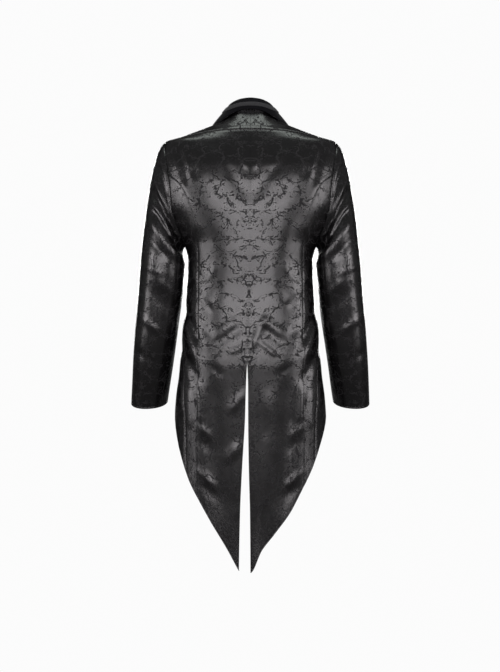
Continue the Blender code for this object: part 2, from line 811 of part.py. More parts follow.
def make_button(name, z):
    bm = bmesh.new()
    bmesh.ops.create_cone(
        bm, cap_ends=True, segments=20, radius1=BUTTON_RADIUS, radius2=BUTTON_RADIUS * 0.86,
        depth=BUTTON_THICKNESS,
    )
    normal = trunk_normal(math.pi, z)
    turn = normal.to_track_quat("Z", "Y").to_matrix().to_4x4()
    bmesh.ops.transform(bm, matrix=turn, verts=bm.verts)
    centre = trunk_base(math.pi, z) + normal * (BUTTON_THICKNESS / 2 + LAY_GAP)
    bmesh.ops.translate(bm, vec=centre, verts=bm.verts)
    mesh = bpy.data.meshes.new(name)
    bm.to_mesh(mesh)
    bm.free()
    return finish(name, mesh, HORN)


def main():
    for old in list(bpy.data.objects):
        bpy.data.objects.remove(old)
    coat = bpy.data.collections.new("tailcoat")
    bpy.context.scene.collection.children.link(coat)
    for side in SIDE_NAMES:
        make_yoke(side)
        make_back(side)
        make_side_back(side)
        make_front(side)
        make_lapel(side)
        make_sleeve("upper_sleeve", FORE_SEAM - 360, HIND_SEAM, side)
        make_sleeve("under_sleeve", HIND_SEAM, FORE_SEAM, side)
    make_collar()
    make_collar_band()
    for name, z in BUTTON_HEIGHTS.items():
        make_button(name, z)


main()
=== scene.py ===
# %% [markdown]
# # A black jacquard tailcoat, seen from behind
# The coat stands in the air as if it were worn, open at the neck, the cuffs and the hem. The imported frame
# holds its plain solids. This notebook lays finer cloth over each of them: panels with soft folds, pressed
# seams and turned edges, a velvet collar, and a satin that is woven with a pattern of broken veins.

# %% Load the frame
import bisect
import math

import bmesh
import bpy
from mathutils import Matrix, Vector, noise


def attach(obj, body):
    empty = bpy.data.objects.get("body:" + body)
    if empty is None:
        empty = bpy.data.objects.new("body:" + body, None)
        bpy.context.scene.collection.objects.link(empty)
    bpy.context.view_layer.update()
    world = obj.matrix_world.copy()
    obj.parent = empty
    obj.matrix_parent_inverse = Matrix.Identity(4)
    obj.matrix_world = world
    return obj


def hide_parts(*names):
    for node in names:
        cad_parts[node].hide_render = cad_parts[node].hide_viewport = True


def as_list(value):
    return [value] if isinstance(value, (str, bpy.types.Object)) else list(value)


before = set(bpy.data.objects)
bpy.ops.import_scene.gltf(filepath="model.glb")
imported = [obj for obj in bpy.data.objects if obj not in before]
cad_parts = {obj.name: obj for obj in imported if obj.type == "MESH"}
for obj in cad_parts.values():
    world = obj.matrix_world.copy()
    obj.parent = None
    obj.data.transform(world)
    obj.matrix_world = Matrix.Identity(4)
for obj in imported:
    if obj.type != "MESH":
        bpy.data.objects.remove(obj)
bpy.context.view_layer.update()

SIDE_NAMES = {1: "left", -1: "right"}

# %% [markdown]
# ## Camera
# The photograph was taken level with the coat's waist, from straight behind. The coat's back faces +Y, so
# the camera stands on that side. The lens is worked out from the photograph's scale: one pixel is 2.47 mm at
# the coat's middle, and the long side of the picture is 672 pixels.

# %% Camera
PIXEL = 0.00247
PICTURE_HEIGHT = 672
CAMERA_DISTANCE = 3.5
PICTURE_MIDDLE = (0.0012, -0.521)
SENSOR = 36.0

lens = bpy.data.cameras.new("camera")
lens.sensor_fit = "VERTICAL"
lens.sensor_height = SENSOR
lens.lens = SENSOR * CAMERA_DISTANCE / (PICTURE_HEIGHT * PIXEL)
camera = bpy.data.objects.new("camera", lens)
camera.location = (PICTURE_MIDDLE[0], CAMERA_DISTANCE, PICTURE_MIDDLE[1])
camera.rotation_euler = (math.radians(90), 0, math.radians(180))
bpy.context.scene.collection.objects.link(camera)
bpy.context.scene.camera = camera
print("lens:", round(lens.lens, 1), "mm")

# %% [markdown]
# ## A small language for materials
# A shader is a graph, and a graph written link by link is hard to read. The class `Signal` holds one output
# of the graph and lets it stand in an ordinary expression, so `1 - vein * 0.5` adds the two Math nodes that
# it needs. `Finish` holds one material. Its `node` method makes any other node from its type, its settings
# and its inputs, and the methods below it are short names for the nodes that come up again and again.

# %% Signal and Finish
class Signal:
    """An output of a shader graph that can be used in arithmetic."""

    def __init__(self, finish, socket):
        self.finish = finish
        self.socket = socket

    def math(self, operation, *values):
        settings = {"operation": operation}
        return self.finish.node("ShaderNodeMath", settings, dict(enumerate(values)))

    def __add__(self, other):
        return self.math("ADD", self, other)

    def __radd__(self, other):
        return self.math("ADD", other, self)

    def __sub__(self, other):
        return self.math("SUBTRACT", self, other)

    def __rsub__(self, other):
        return self.math("SUBTRACT", other, self)

    def __mul__(self, other):
        return self.math("MULTIPLY", self, other)


class Finish:
    """One material, with its Principled shader and a method that adds nodes."""

    def __init__(self, name, **constants):
        self.material = bpy.data.materials.new(name)
        self.material.use_nodes = True
        self.tree = self.material.node_tree
        self.shader = self.tree.nodes["Principled BSDF"]
        for socket, value in constants.items():
            self.shader.inputs[socket.replace("_", " ")].default_value = value

    def node(self, kind, settings=None, inputs=None, output=0):
        made = self.tree.nodes.new(kind)
        for key, value in (settings or {}).items():
            setattr(made, key, value)
        for key, value in (inputs or {}).items():
            self.feed(made.inputs[key], value)
        return Signal(self, made.outputs[output])

    def feed(self, socket, value):
        if isinstance(value, Signal):
            self.tree.links.new(value.socket, socket)
        else:
            socket.default_value = value

    def drive(self, **signals):
        """Let signals set sockets of the shader."""
        for socket, value in signals.items():
            self.feed(self.shader.inputs[socket.replace("_", " ")], value)

    def blend(self, amount, first, second):
        """Colour between two colours."""
        inputs = {"Factor": amount, 6: first, 7: second}
        return self.node("ShaderNodeMix", {"data_type": "RGBA"}, inputs, output=2)

    def between(self, value, low, high):
        """0 below low, 1 above high, and smooth in between."""
        settings = {"interpolation_type": "SMOOTHSTEP"}
        inputs = {"Value": value, "From Min": low, "From Max": high}
        return self.node("ShaderNodeMapRange", settings, inputs)

    def on_object(self):
        """Place on the object in metres."""
        return self.node("ShaderNodeTexCoord", output=3)

    def on_cloth(self):
        """Place on the flat piece of cloth in metres."""
        return self.node("ShaderNodeUVMap", {"uv_map": "cloth"})

    def cloud(self, where, scale, detail=2.0, roughness=0.5, output=0, flat=False):
        """Noise: clouds at a small scale and grain at a large one."""
        settings = {"noise_dimensions": "2D" if flat else "3D"}
        inputs = {"Vector": where, "Scale": scale, "Detail": detail, "Roughness": roughness}
        return self.node("ShaderNodeTexNoise", settings, inputs, output)

    def relief(self, height, strength, distance=0.0004):
        """Let a height stand out of the surface, and return its normal."""
        inputs = {"Height": height, "Strength": strength, "Distance": distance}
        normal = self.node("ShaderNodeBump", None, inputs)
        self.drive(Normal=normal)
        return normal

    def cover(self, amount, other):
        """Show another shader in place of this one where the amount is 1."""
        own = Signal(self, self.shader.outputs["BSDF"])
        both = self.node("ShaderNodeMixShader", None, {"Fac": amount, 1: own, 2: other})
        self.feed(self.tree.nodes["Material Output"].inputs["Surface"], both)


print("shader language ready")

# %% [markdown]
# ## Floor and light
# The studio is plain: a pale floor far below the coat that sweeps up into a backdrop, and a dim sky. A wide
# soft light behind the camera and one at each side are what the satin mirrors, from the shoulder blades down
# to the vent. One from above lights the yoke, and one beyond the coat lights its front. Black satin shows
# whatever it mirrors, so floor and sky look white to the camera and stay dim to the coat.

# %% Floor and backdrop
FLOOR_HEIGHT = -1.55
SWEEP_START = -2.5
SWEEP_RADIUS = 2.0
SWEEP_STEPS = 24
STAGE_HALF_WIDTH = 9.0
WALL_TOP = 6.0
FLOOR_FRONT = 9.0
FLOOR_COLOR = (0.09, 0.09, 0.09, 1.0)
WHITE = (1.0, 1.0, 1.0, 1.0)
SEEN_BRIGHTNESS = 0.97


def make_object(name, bm):
    """Object with a smooth mesh from a bmesh, which is used up."""
    mesh = bpy.data.meshes.new(name)
    bm.to_mesh(mesh)
    bm.free()
    mesh.shade_smooth()
    made = bpy.data.objects.new(name, mesh)
    bpy.context.scene.collection.objects.link(made)
    return made


bm = bmesh.new()
ends = [bm.verts.new((x, FLOOR_FRONT, FLOOR_HEIGHT)) for x in (-STAGE_HALF_WIDTH, STAGE_HALF_WIDTH)]
edge = bm.edges.new(ends)


def pull(edge, shift):
    """Extrude the open edge of the sweep by a shift, and return the new edge."""
    grown = bmesh.ops.extrude_edge_only(bm, edges=[edge])["geom"]
    fresh = [item for item in grown if isinstance(item, bmesh.types.BMVert)]
    bmesh.ops.translate(bm, vec=shift, verts=fresh)
    edges = [item for item in grown if isinstance(item, bmesh.types.BMEdge)]
    return next(item for item in edges if set(item.verts) == set(fresh))


edge = pull(edge, Vector((0.0, SWEEP_START - FLOOR_FRONT, 0.0)))
for step in range(SWEEP_STEPS):
    low, high = (math.pi / 2 * (step + i) / SWEEP_STEPS for i in (0, 1))
    along, up = math.sin(low) - math.sin(high), math.cos(low) - math.cos(high)
    edge = pull(edge, SWEEP_RADIUS * Vector((0.0, along, up)))
edge = pull(edge, Vector((0.0, 0.0, WALL_TOP)))
bmesh.ops.recalc_face_normals(bm, faces=bm.faces)
floor = make_object("floor", bm)

pale = Finish("pale_floor", Base_Color=FLOOR_COLOR, Roughness=0.9)
seen = pale.node("ShaderNodeLightPath")
pale.cover(seen, pale.node("ShaderNodeEmission", None, {"Color": WHITE, "Strength": SEEN_BRIGHTNESS}))
floor.data.materials.append(pale.material)
print("floor at", FLOOR_HEIGHT, "with", len(floor.data.polygons), "faces")

# %% Lights
def soft_light(name, place, aim, size, power, tint=(1.0, 1.0, 1.0)):
    """Rectangular soft light that points from its place towards a spot."""
    data = bpy.data.lights.new(name, "AREA")
    data.color = tint
    data.shape = "RECTANGLE"
    data.size, data.size_y = size
    data.energy = power
    light = bpy.data.objects.new(name, data)
    light.location = place
    light.rotation_euler = (Vector(aim) - Vector(place)).to_track_quat("-Z", "Y").to_euler()
    light.visible_camera = False
    bpy.context.scene.collection.objects.link(light)


MAUVE = (1.0, 0.955, 0.98)
PALE_GREEN = (0.93, 1.0, 0.95)
SKY_LIGHT = 0.18

soft_light("front_light", (0.0, 4.6, -0.03), (0.0, 0.0, 0.0), (5.0, 0.9), 122.0, MAUVE)
for side, name in SIDE_NAMES.items():
    soft_light(f"{name}_light", (side * 4.3, 2.6, -0.1), (0.0, 0.0, 0.0), (3.0, 1.3), 80.0, MAUVE)
soft_light("far_light", (0.0, -4.2, 0.3), (0.0, 0.0, -0.3), (3.6, 1.4), 190.0)
soft_light("top_light", (0.0, 0.38, 2.6), (0.0, 0.0, 0.0), (3.4, 1.1), 40.0, PALE_GREEN)

sky = bpy.data.worlds.new("studio")
sky.use_nodes = True
tree = sky.node_tree
background = tree.nodes["Background"]
background.inputs["Color"].default_value = WHITE
path = tree.nodes.new("ShaderNodeLightPath")
strength = tree.nodes.new("ShaderNodeMapRange")
strength.inputs["To Min"].default_value = SKY_LIGHT
strength.inputs["To Max"].default_value = SEEN_BRIGHTNESS
tree.links.new(path.outputs["Is Camera Ray"], strength.inputs["Value"])
tree.links.new(strength.outputs["Result"], background.inputs["Strength"])
bpy.context.scene.world = sky
bpy.context.scene.view_settings.view_transform = "Standard"

# %% [markdown]
# ## The shape of the body
# Every panel of the coat lies on one trunk surface, so that neighbouring panels meet. A point is named by its
# angle (0 at the centre back, 90 at the side, 180 at the centre front) and its height, and `read` draws a
# smooth curve through a column of a table. The widths and the edges are those of the solids. The back is a
# little fuller at the waist and flatter in the tails, so that the satin mirrors the light there as the real
# one does. All measures are in metres.

# %% Trunk tables
WALL = 0.002
SQUARENESS = 2.4
SLEEVE_SQUARENESS = 2.15

# height, half width, back depth, front depth
TRUNK = (
    (0.034, 0.0505, 0.0490, 0.0400),
    (0.020, 0.0545, 0.0530, 0.0430),
    (0.010, 0.0660, 0.0585, 0.0465),
    (0.000, 0.0870, 0.0655, 0.0500),
    (-0.010, 0.1110, 0.0730, 0.0550),
    (-0.021, 0.1400, 0.0807, 0.0604),
    (-0.026, 0.1540, 0.0830, 0.0632),
    (-0.034, 0.1770, 0.0864, 0.0680),
    (-0.045, 0.2095, 0.0907, 0.0740),
    (-0.060, 0.2180, 0.0962, 0.0810),
    (-0.085, 0.2250, 0.1047, 0.0900),
    (-0.115, 0.2260, 0.1120, 0.0990),
    (-0.155, 0.2230, 0.1157, 0.1070),
    (-0.200, 0.2150, 0.1160, 0.1120),
    (-0.250, 0.1910, 0.1141, 0.1150),
    (-0.300, 0.1620, 0.1114, 0.1130),
    (-0.353, 0.1545, 0.1086, 0.1090),
    (-0.420, 0.1580, 0.1068, 0.1050),
    (-0.480, 0.1640, 0.1082, 0.1050),
    (-0.540, 0.1700, 0.1116, 0.1080),
    (-0.565, 0.1723, 0.1124, 0.1097),
    (-0.590, 0.1744, 0.1120, 0.1108),
    (-0.620, 0.1770, 0.1103, 0.1116),
    (-0.680, 0.1840, 0.1068, 0.1130),
    (-0.740, 0.1870, 0.1038, 0.1140),
    (-1.120, 0.1890, 0.0925, 0.1140),
)

# Armhole oval
ARMHOLE_TOP = -0.045
ARMHOLE_BOTTOM = -0.300
ARMHOLE_MIDDLE = (ARMHOLE_TOP + ARMHOLE_BOTTOM) / 2
ARMHOLE_REACH = (ARMHOLE_TOP - ARMHOLE_BOTTOM) / 2
ARMHOLE_RISE = 0.0145
ARMHOLE_BACK = 0.066
ARMHOLE_FRONT = 0.060
YOKE_RING = 15
SIDE_BACK_RING = 75

# height, seam's place across the back, left edge, right edge
CENTRE_BACK = (
    (0.040, 0.0000, 0.0000, 0.0000),
    (-0.150, 0.0006, 0.0000, 0.0000),
    (-0.400, 0.0035, 0.0000, 0.0000),
    (-0.584, 0.0079, 0.0000, 0.0000),
    (-0.598, 0.0080, 0.0008, 0.0007),
    (-0.640, 0.0083, 0.0026, 0.0024),
    (-0.720, 0.0090, 0.0042, 0.0034),
    (-0.840, 0.0112, 0.0091, 0.0072),
    (-0.950, 0.0130, 0.0122, 0.0118),
    (-1.120, 0.0140, 0.0140, 0.0140),
)

# height, place across the back
PRINCESS = (
    (-0.126, 0.2005),
    (-0.148, 0.1760),
    (-0.185, 0.1530),
    (-0.255, 0.1325),
    (-0.333, 0.1270),
    (-0.540, 0.1285),
    (-0.720, 0.1290),
    (-1.120, 0.1280),
)

# height, angle in degrees
SIDE_SEAM = (
    (-0.300, 90.0),
    (-0.420, 85.5),
    (-0.540, 77.5),
    (-0.640, 70.1),
    (-0.740, 67.2),
    (-1.120, 67.4),
)

# angle in degrees, left height, right height
HEM = (
    (0.0, -1.130, -1.091),
    (16.4, -1.088, -1.038),
    (32.4, -1.032, -0.998),
    (46.8, -0.975, -0.951),
    (57.3, -0.920, -0.893),
    (66.1, -0.866, -0.837),
    (72.8, -0.811, -0.787),
    (80.9, -0.751, -0.740),
    (90.0, -0.705, -0.705),
    (110.0, -0.640, -0.640),
    (130.0, -0.575, -0.575),
    (150.0, -0.515, -0.515),
    (170.0, -0.462, -0.462),
    (192.0, -0.435, -0.435),
)
HEM_TOP = -0.40
WAIST = -0.36
HALVINGS = 34

# place across the back, height
YOKE_SEAM = (
    (0.000, -0.0235),
    (0.060, -0.0235),
    (0.083, -0.0240),
    (0.120, -0.0285),
    (0.152, -0.0345),
    (0.180, -0.0410),
    (0.2085, -0.0483),
)
print("tables:", len(TRUNK), "levels of the trunk")

# %% Curves through the tables
def mix(a, b, t):
    return a + (b - a) * t


def smooth_step(low, high, value):
    t = min(max((value - low) / (high - low), 0.0), 1.0)
    return t * t * (3 - 2 * t)


def bell(distance, width):
    """1 at no distance, falling off smoothly on both sides."""
    return math.exp(-(distance / width) ** 2)


def find(low, high, too_low):
    """Value between low and high where too_low turns from true to false."""
    for _ in range(HALVINGS):
        middle = (low + high) / 2
        if too_low(middle):
            low = middle
        else:
            high = middle
    return (low + high) / 2


def make_curve(table, column):
    """Keys, values and slopes of one column, for a curve that never overshoots its rows."""
    rows = table if table[0][0] < table[-1][0] else table[::-1]
    keys = [row[0] for row in rows]
    values = [row[column] for row in rows]
    rises = [(values[i + 1] - values[i]) / (keys[i + 1] - keys[i]) for i in range(len(keys) - 1)]
    slopes = [0.0] * len(keys)
    for i in range(1, len(keys) - 1):
        if rises[i - 1] * rises[i] > 0:
            slopes[i] = 2 * rises[i - 1] * rises[i] / (rises[i - 1] + rises[i])
    return keys, values, slopes


curves = {}


def read(table, key, column):
    """Smooth value of one column of a table at a key."""
    name = (id(table), column)
    if name not in curves:
        curves[name] = make_curve(table, column)
    keys, values, slopes = curves[name]
    if key <= keys[0]:
        return values[0]
    if key >= keys[-1]:
        return values[-1]
    i = bisect.bisect_right(keys, key) - 1
    span = keys[i + 1] - keys[i]
    t = (key - keys[i]) / span
    bend = t * t * (3 - 2 * t)
    lean = span * t * (1 - t) * ((1 - t) * slopes[i] - t * slopes[i + 1])
    return mix(values[i], values[i + 1], bend) + lean


def section(z, back=True):
    """Half width of the trunk at a height, and its depth at the back or the front."""
    return read(TRUNK, z, 1), read(TRUNK, z, 2 if back else 3)


print("half width and depth at the waist:", [round(v, 4) for v in section(WAIST)])

# %% [markdown]
# ## Folds
# Cloth that hangs on a body is never smooth. Each row of these tables is one soft trough or ridge between two
# spots, seen from the back. First come the large ones, which the solids have too, some of them a little
# higher. Then come fine ones: drag lines at the waist, creases beside the armholes, and waves in the tails.

# %% Tables of folds
# x and z of one end, x and z of the other, half width, height, side (0 both, 1 left, -1 right)
FOLDS_NONE_AT = -0.45
FOLDS_WHOLE_AT = 0.05
BACK_FOLDS = (
    (0.084, -0.521, 0.030, -0.480, 0.012, 0.0018, 0),
    (0.090, -0.546, 0.022, -0.500, 0.012, -0.0016, 0),
    (0.112, -0.470, 0.084, -0.408, 0.017, -0.0024, 0),
    (0.118, -0.498, 0.098, -0.518, 0.013, -0.0030, 0),
    (0.124, -0.574, 0.066, -0.586, 0.018, 0.0010, 0),
    (0.003, -0.550, 0.034, -0.476, 0.010, 0.0028, -1),
    (0.164, -0.446, 0.126, -0.538, 0.010, -0.0035, 0),
    (0.174, -0.541, 0.128, -0.630, 0.012, -0.0040, 0),
    (0.160, -0.490, 0.130, -0.575, 0.012, 0.0035, 0),
    (0.171, -0.070, 0.152, -0.155, 0.009, -0.0030, 0),
    (0.146, -0.065, 0.134, -0.140, 0.008, -0.0025, 0),
    (0.072, -0.096, 0.006, -0.190, 0.015, -0.0020, 0),
    (0.024, -0.084, 0.010, -0.120, 0.006, 0.0018, 0),
    (0.125, -0.650, 0.120, -0.730, 0.008, 0.0022, 0),
    (0.124, -0.735, 0.100, -0.764, 0.009, 0.0020, 0),
    (0.122, -0.845, 0.088, -0.884, 0.009, 0.0023, 0),
    (0.124, -0.770, 0.096, -0.795, 0.012, -0.0013, 0),
    (0.118, -0.880, 0.084, -0.912, 0.012, -0.0013, 0),
    (0.013, -0.655, 0.048, -0.702, 0.011, 0.0016, 1),
    (0.026, -0.780, 0.058, -0.822, 0.011, 0.0018, 1),
    (0.040, -0.660, 0.062, -0.815, 0.014, 0.0011, -1),
    (0.085, -0.640, 0.078, -0.940, 0.018, -0.0014, 0),
    (0.168, -0.640, 0.166, -0.705, 0.009, 0.0020, 0),
    # fine ones
    (0.104, -0.386, 0.078, -0.346, 0.008, 0.0012, 0),
    (0.118, -0.430, 0.092, -0.462, 0.006, 0.0014, 1),
    (0.121, -0.418, 0.088, -0.448, 0.006, 0.0013, -1),
    (0.052, -0.560, 0.012, -0.545, 0.007, 0.0012, 1),
    (0.060, -0.566, 0.022, -0.536, 0.006, 0.0014, -1),
    (0.106, -0.588, 0.070, -0.612, 0.008, -0.0012, 0),
    (0.160, -0.064, 0.148, -0.118, 0.005, 0.0014, 0),
    (0.184, -0.082, 0.176, -0.120, 0.005, 0.0012, 0),
    (0.092, -0.070, 0.060, -0.128, 0.009, 0.0012, 1),
    (0.086, -0.076, 0.048, -0.120, 0.009, 0.0012, -1),
    (0.112, -0.700, 0.108, -0.800, 0.007, -0.0009, 1),
    (0.100, -0.730, 0.098, -0.850, 0.008, 0.0009, -1),
    (0.036, -0.780, 0.030, -0.960, 0.011, 0.0010, 1),
    (0.040, -0.760, 0.034, -0.930, 0.010, 0.0010, -1),
    (0.150, -0.650, 0.146, -0.740, 0.008, 0.0012, 0),
    (0.176, -0.300, 0.150, -0.345, 0.007, -0.0016, 0),
    (0.150, -0.330, 0.128, -0.400, 0.007, 0.0012, 0),
)

# x and z of one end, x and z of the other, half width, height, face (1 back, -1 front)
SLEEVE_FOLDS = (
    (0.232, -0.095, 0.192, -0.198, 0.008, -0.0050, 1),
    (0.246, -0.160, 0.174, -0.276, 0.009, -0.0065, 1),
    (0.236, -0.215, 0.166, -0.316, 0.008, -0.0050, 1),
    (0.250, -0.236, 0.180, -0.332, 0.011, 0.0032, 1),
    (0.226, -0.378, 0.200, -0.416, 0.011, 0.0018, 1),
    (0.262, -0.400, 0.190, -0.456, 0.014, -0.0008, 1),
    (0.240, -0.110, 0.196, -0.210, 0.009, -0.0045, -1),
    (0.246, -0.180, 0.178, -0.280, 0.010, -0.0055, -1),
    (0.262, -0.405, 0.180, -0.432, 0.009, -0.0050, -1),
    (0.268, -0.440, 0.184, -0.462, 0.009, -0.0045, -1),
    (0.274, -0.480, 0.190, -0.492, 0.010, -0.0035, -1),
    # fine ones
    (0.240, -0.128, 0.196, -0.232, 0.005, 0.0018, 1),
    (0.244, -0.190, 0.186, -0.282, 0.005, 0.0018, 1),
    (0.252, -0.282, 0.206, -0.330, 0.008, -0.0020, 1),
    (0.268, -0.345, 0.214, -0.372, 0.008, 0.0014, 1),
    (0.276, -0.470, 0.222, -0.512, 0.009, 0.0016, 1),
    (0.282, -0.560, 0.236, -0.585, 0.009, -0.0012, 1),
    (0.256, -0.230, 0.200, -0.300, 0.007, 0.0016, -1),
    (0.276, -0.520, 0.214, -0.530, 0.007, 0.0014, -1),
    (0.284, -0.600, 0.236, -0.612, 0.008, 0.0012, -1),
)


def fold_height(folds, x, z, chosen):
    """Sum of the folds at a place; chosen says whether a row applies there, from 0 to 1."""
    height = 0.0
    for ax, az, bx, bz, width, rise, mark in folds:
        dx, dz = bx - ax, bz - az
        length = math.hypot(dx, dz)
        across = ((x - ax) * dz - (z - az) * dx) / length
        if abs(across) > 3 * width:
            continue
        along = ((x - ax) * dx + (z - az) * dz) / length
        start = smooth_step(-1.5 * width, 2.0 * width, along)
        end = smooth_step(-1.5 * width, 2.0 * width, length - along)
        height += chosen(mark) * rise * start * end * bell(across, width)
    return height


print("folds:", len(BACK_FOLDS), "on the back,", len(SLEEVE_FOLDS), "on a sleeve")

# %% [markdown]
# ## The trunk surface
# A level cut through the chest is a rounded rectangle, so each level is a superellipse. Folds and a slow
# uneven ripple are added along the surface's own direction, and `out` lifts whatever lies on top of it.

# %% Trunk surface
RIPPLE_SIZE = 0.055
RIPPLE_HEIGHT = 0.0011
RIPPLE_STRETCH = 0.6
STEP = 0.002


def other_side(across, half, depth):
    """Depth of a level section at a place across it, or its width at a depth."""
    part = max(1.0 - abs(across / half) ** SQUARENESS, 0.0)
    return depth * part ** (1 / SQUARENESS)


def trunk_base(angle, z):
    """Point of the smooth trunk at an angle in radians and a height."""
    sine, cosine = math.sin(angle), math.cos(angle)
    half, depth = section(z, cosine > 0)
    total = abs(sine / half) ** SQUARENESS + abs(cosine / depth) ** SQUARENESS
    radius = total ** (-1 / SQUARENESS)
    return Vector((radius * sine, radius * cosine, z))


def trunk_normal(angle, z):
    around = trunk_base(angle + STEP, z) - trunk_base(angle - STEP, z)
    down = trunk_base(angle, z - STEP) - trunk_base(angle, z + STEP)
    return around.cross(down).normalized()


def ripple(point, side):
    """Slow uneven swell of the cloth."""
    spot = Vector((point.x * side, point.y, point.z * RIPPLE_STRETCH)) / RIPPLE_SIZE
    return RIPPLE_HEIGHT * noise.noise(spot)


def off_armhole(point):
    """0 on the edge of the armhole, where the body meets the sleeve, and 1 a little away from it."""
    across = point.y / (ARMHOLE_BACK if point.y > 0 else ARMHOLE_FRONT)
    middle = ARMHOLE_MIDDLE + ARMHOLE_RISE * min(across * across, 1.0)
    up = (point.z - middle) / ARMHOLE_REACH
    return smooth_step(1.0, 1.15, math.hypot(across, up))


def trunk(angle, z, side, out=0.0):
    """Point of the left half of the trunk with its folds, moved out along the surface's normal."""
    base = trunk_base(angle, z)

    def chosen(mark):
        return mark in (0, side)
    shown = smooth_step(FOLDS_NONE_AT, FOLDS_WHOLE_AT, math.cos(angle))
    height = shown * fold_height(BACK_FOLDS, base.x, z, chosen)
    height = (height + ripple(base, side)) * off_armhole(base)
    return base + trunk_normal(angle, z) * (height + out)


def angle_across(x, z, front=False):
    """Angle of the point at a place across the back, or across the front."""
    turn = math.atan2(x, other_side(x, *section(z, not front)))
    return math.pi - turn if front else turn


def chord(first, last, z):
    """Distance between two angles at a height."""
    return (trunk_base(first, z) - trunk_base(last, z)).length


def top_height(x, y):
    """Height of the trunk over a point of the plan."""
    def inside(z):
        half, depth = section(z, y > 0)
        return abs(x / half) ** SQUARENESS + abs(y / depth) ** SQUARENESS < 1.0
    return find(ARMHOLE_BOTTOM, TRUNK[0][0], inside)


print("centre back at the waist:", [round(v, 4) for v in trunk(0.0, WAIST, 1)])

# %% [markdown]
# ## The sleeve surface
# A set-in sleeve starts from the oval armhole, bulges over the shoulder, and then becomes a tube that bends
# forward at the elbow. The cap is drawn as a curve from the armhole to the first ring of the tube, so that
# the sleeve leaves the shoulder without a step.

# %% Armhole and sleeve surface
# place along the sleeve, outer x, outer z, inner x, inner z, middle y, half depth, drop of the back
SLEEVE = (
    (0.30, 0.2610, -0.235, 0.1600, -0.342, 0.001, 0.0690, 0.000),
    (0.42, 0.2700, -0.320, 0.1640, -0.388, -0.001, 0.0670, 0.000),
    (0.56, 0.2790, -0.425, 0.1710, -0.446, -0.009, 0.0630, 0.002),
    (0.72, 0.2880, -0.530, 0.1840, -0.535, -0.021, 0.0590, 0.007),
    (0.86, 0.2945, -0.620, 0.1965, -0.618, -0.038, 0.0530, 0.012),
    (1.00, 0.2985, -0.689, 0.2070, -0.684, -0.056, 0.0475, 0.015),
)
CAP_END = 0.30
HIND_SEAM = 135
FORE_SEAM = 240
CAP_LEAVE_TOP = (0.090, 0.0, -0.030)
CAP_LEAVE_ARMPIT = (0.024, 0.0, -0.040)
CAP_LEAVE_BACK = 0.012
CAP_ARRIVE_TOP = 0.24
CAP_ARRIVE_ARMPIT = 0.12
RING_STEP = 0.004


def ring_height(ring):
    """Height of the armhole at an angle round it, in radians."""
    return ARMHOLE_MIDDLE + ARMHOLE_REACH * math.cos(ring) + ARMHOLE_RISE * math.sin(ring) ** 2


def armhole(ring):
    """Point of the armhole, and its angle on the trunk."""
    z = ring_height(ring)
    sine = math.sin(ring)
    y = sine * (ARMHOLE_BACK if sine > 0 else ARMHOLE_FRONT)
    half, depth = section(z, sine > 0)
    x = other_side(y, depth, half)
    return Vector((x, y, z)), math.atan2(x, y)


def armhole_angle(z, front):
    """Angle on the trunk of the back or front edge of the armhole at a height."""
    ring = find(0.0, math.pi, lambda guess: ring_height(guess) > z)
    return armhole(-ring if front else ring)[1]


def sleeve_ring(ring, place):
    outer = Vector((read(SLEEVE, place, 1), 0.0, read(SLEEVE, place, 2)))
    inner = Vector((read(SLEEVE, place, 3), 0.0, read(SLEEVE, place, 4)))
    centre = (outer + inner) / 2
    centre.y = read(SLEEVE, place, 5)
    power = 2 / SLEEVE_SQUARENESS
    across = math.copysign(abs(math.cos(ring)) ** power, math.cos(ring))
    back = math.copysign(abs(math.sin(ring)) ** power, math.sin(ring))
    depth = Vector((0.0, read(SLEEVE, place, 6), -read(SLEEVE, place, 7)))
    return centre + (outer - inner) / 2 * across + depth * back


def sleeve_base(ring, place):
    """Point of the smooth sleeve, with the cap as a curve from the armhole to the first ring."""
    if place >= CAP_END:
        return sleeve_ring(ring, place)
    start = armhole(ring)[0]
    end = sleeve_ring(ring, CAP_END)
    low = (1 - math.cos(ring)) / 2
    leave = Vector(CAP_LEAVE_TOP).lerp(Vector(CAP_LEAVE_ARMPIT), low)
    leave.y += CAP_LEAVE_BACK * math.sin(ring)
    arrive = (sleeve_ring(ring, CAP_END + 0.01) - end) * 100
    arrive *= mix(CAP_ARRIVE_TOP, CAP_ARRIVE_ARMPIT, low)
    t = max(place, 0.0) / CAP_END
    point = start * (2 * t ** 3 - 3 * t ** 2 + 1) + leave * (t ** 3 - 2 * t ** 2 + t)
    return point + end * (3 * t ** 2 - 2 * t ** 3) + arrive * (t ** 3 - t ** 2)


def sleeve(ring, place, side, out=0.0):
    """Point of the left sleeve with its folds, moved out along the surface's normal."""
    base = sleeve_base(ring, place)
    around = sleeve_base(ring + RING_STEP, place) - sleeve_base(ring - RING_STEP, place)
    ahead, behind = min(place + RING_STEP, 1.0), max(place - RING_STEP, 0.0)
    along = sleeve_base(ring, ahead) - sleeve_base(ring, behind)
    sine = math.sin(ring)

    def chosen(mark):
        return smooth_step(-0.1, 0.5, mark * sine)
    height = fold_height(SLEEVE_FOLDS, base.x, base.z, chosen) + ripple(base, side)
    height *= smooth_step(0.0, 0.06, place)
    return base + along.cross(around).normalized() * (height + out)


print("cuff:", [round(v, 4) for v in sleeve(0.0, 1.0, 1)])

# %% [markdown]
# ## Cloth panels
# A tailor's panel is a flat piece of cloth, so it starts here as a flat bmesh grid. Its lines are closer
# together near the edges, where a seam or a turned edge needs them. Each vertex is then carried to its place
# on the coat. The panel's UV map holds the distances along the cloth in metres, so the woven pattern lies on
# it as it did on the bolt, and a Solidify modifier gives the cloth its thickness on the inside.

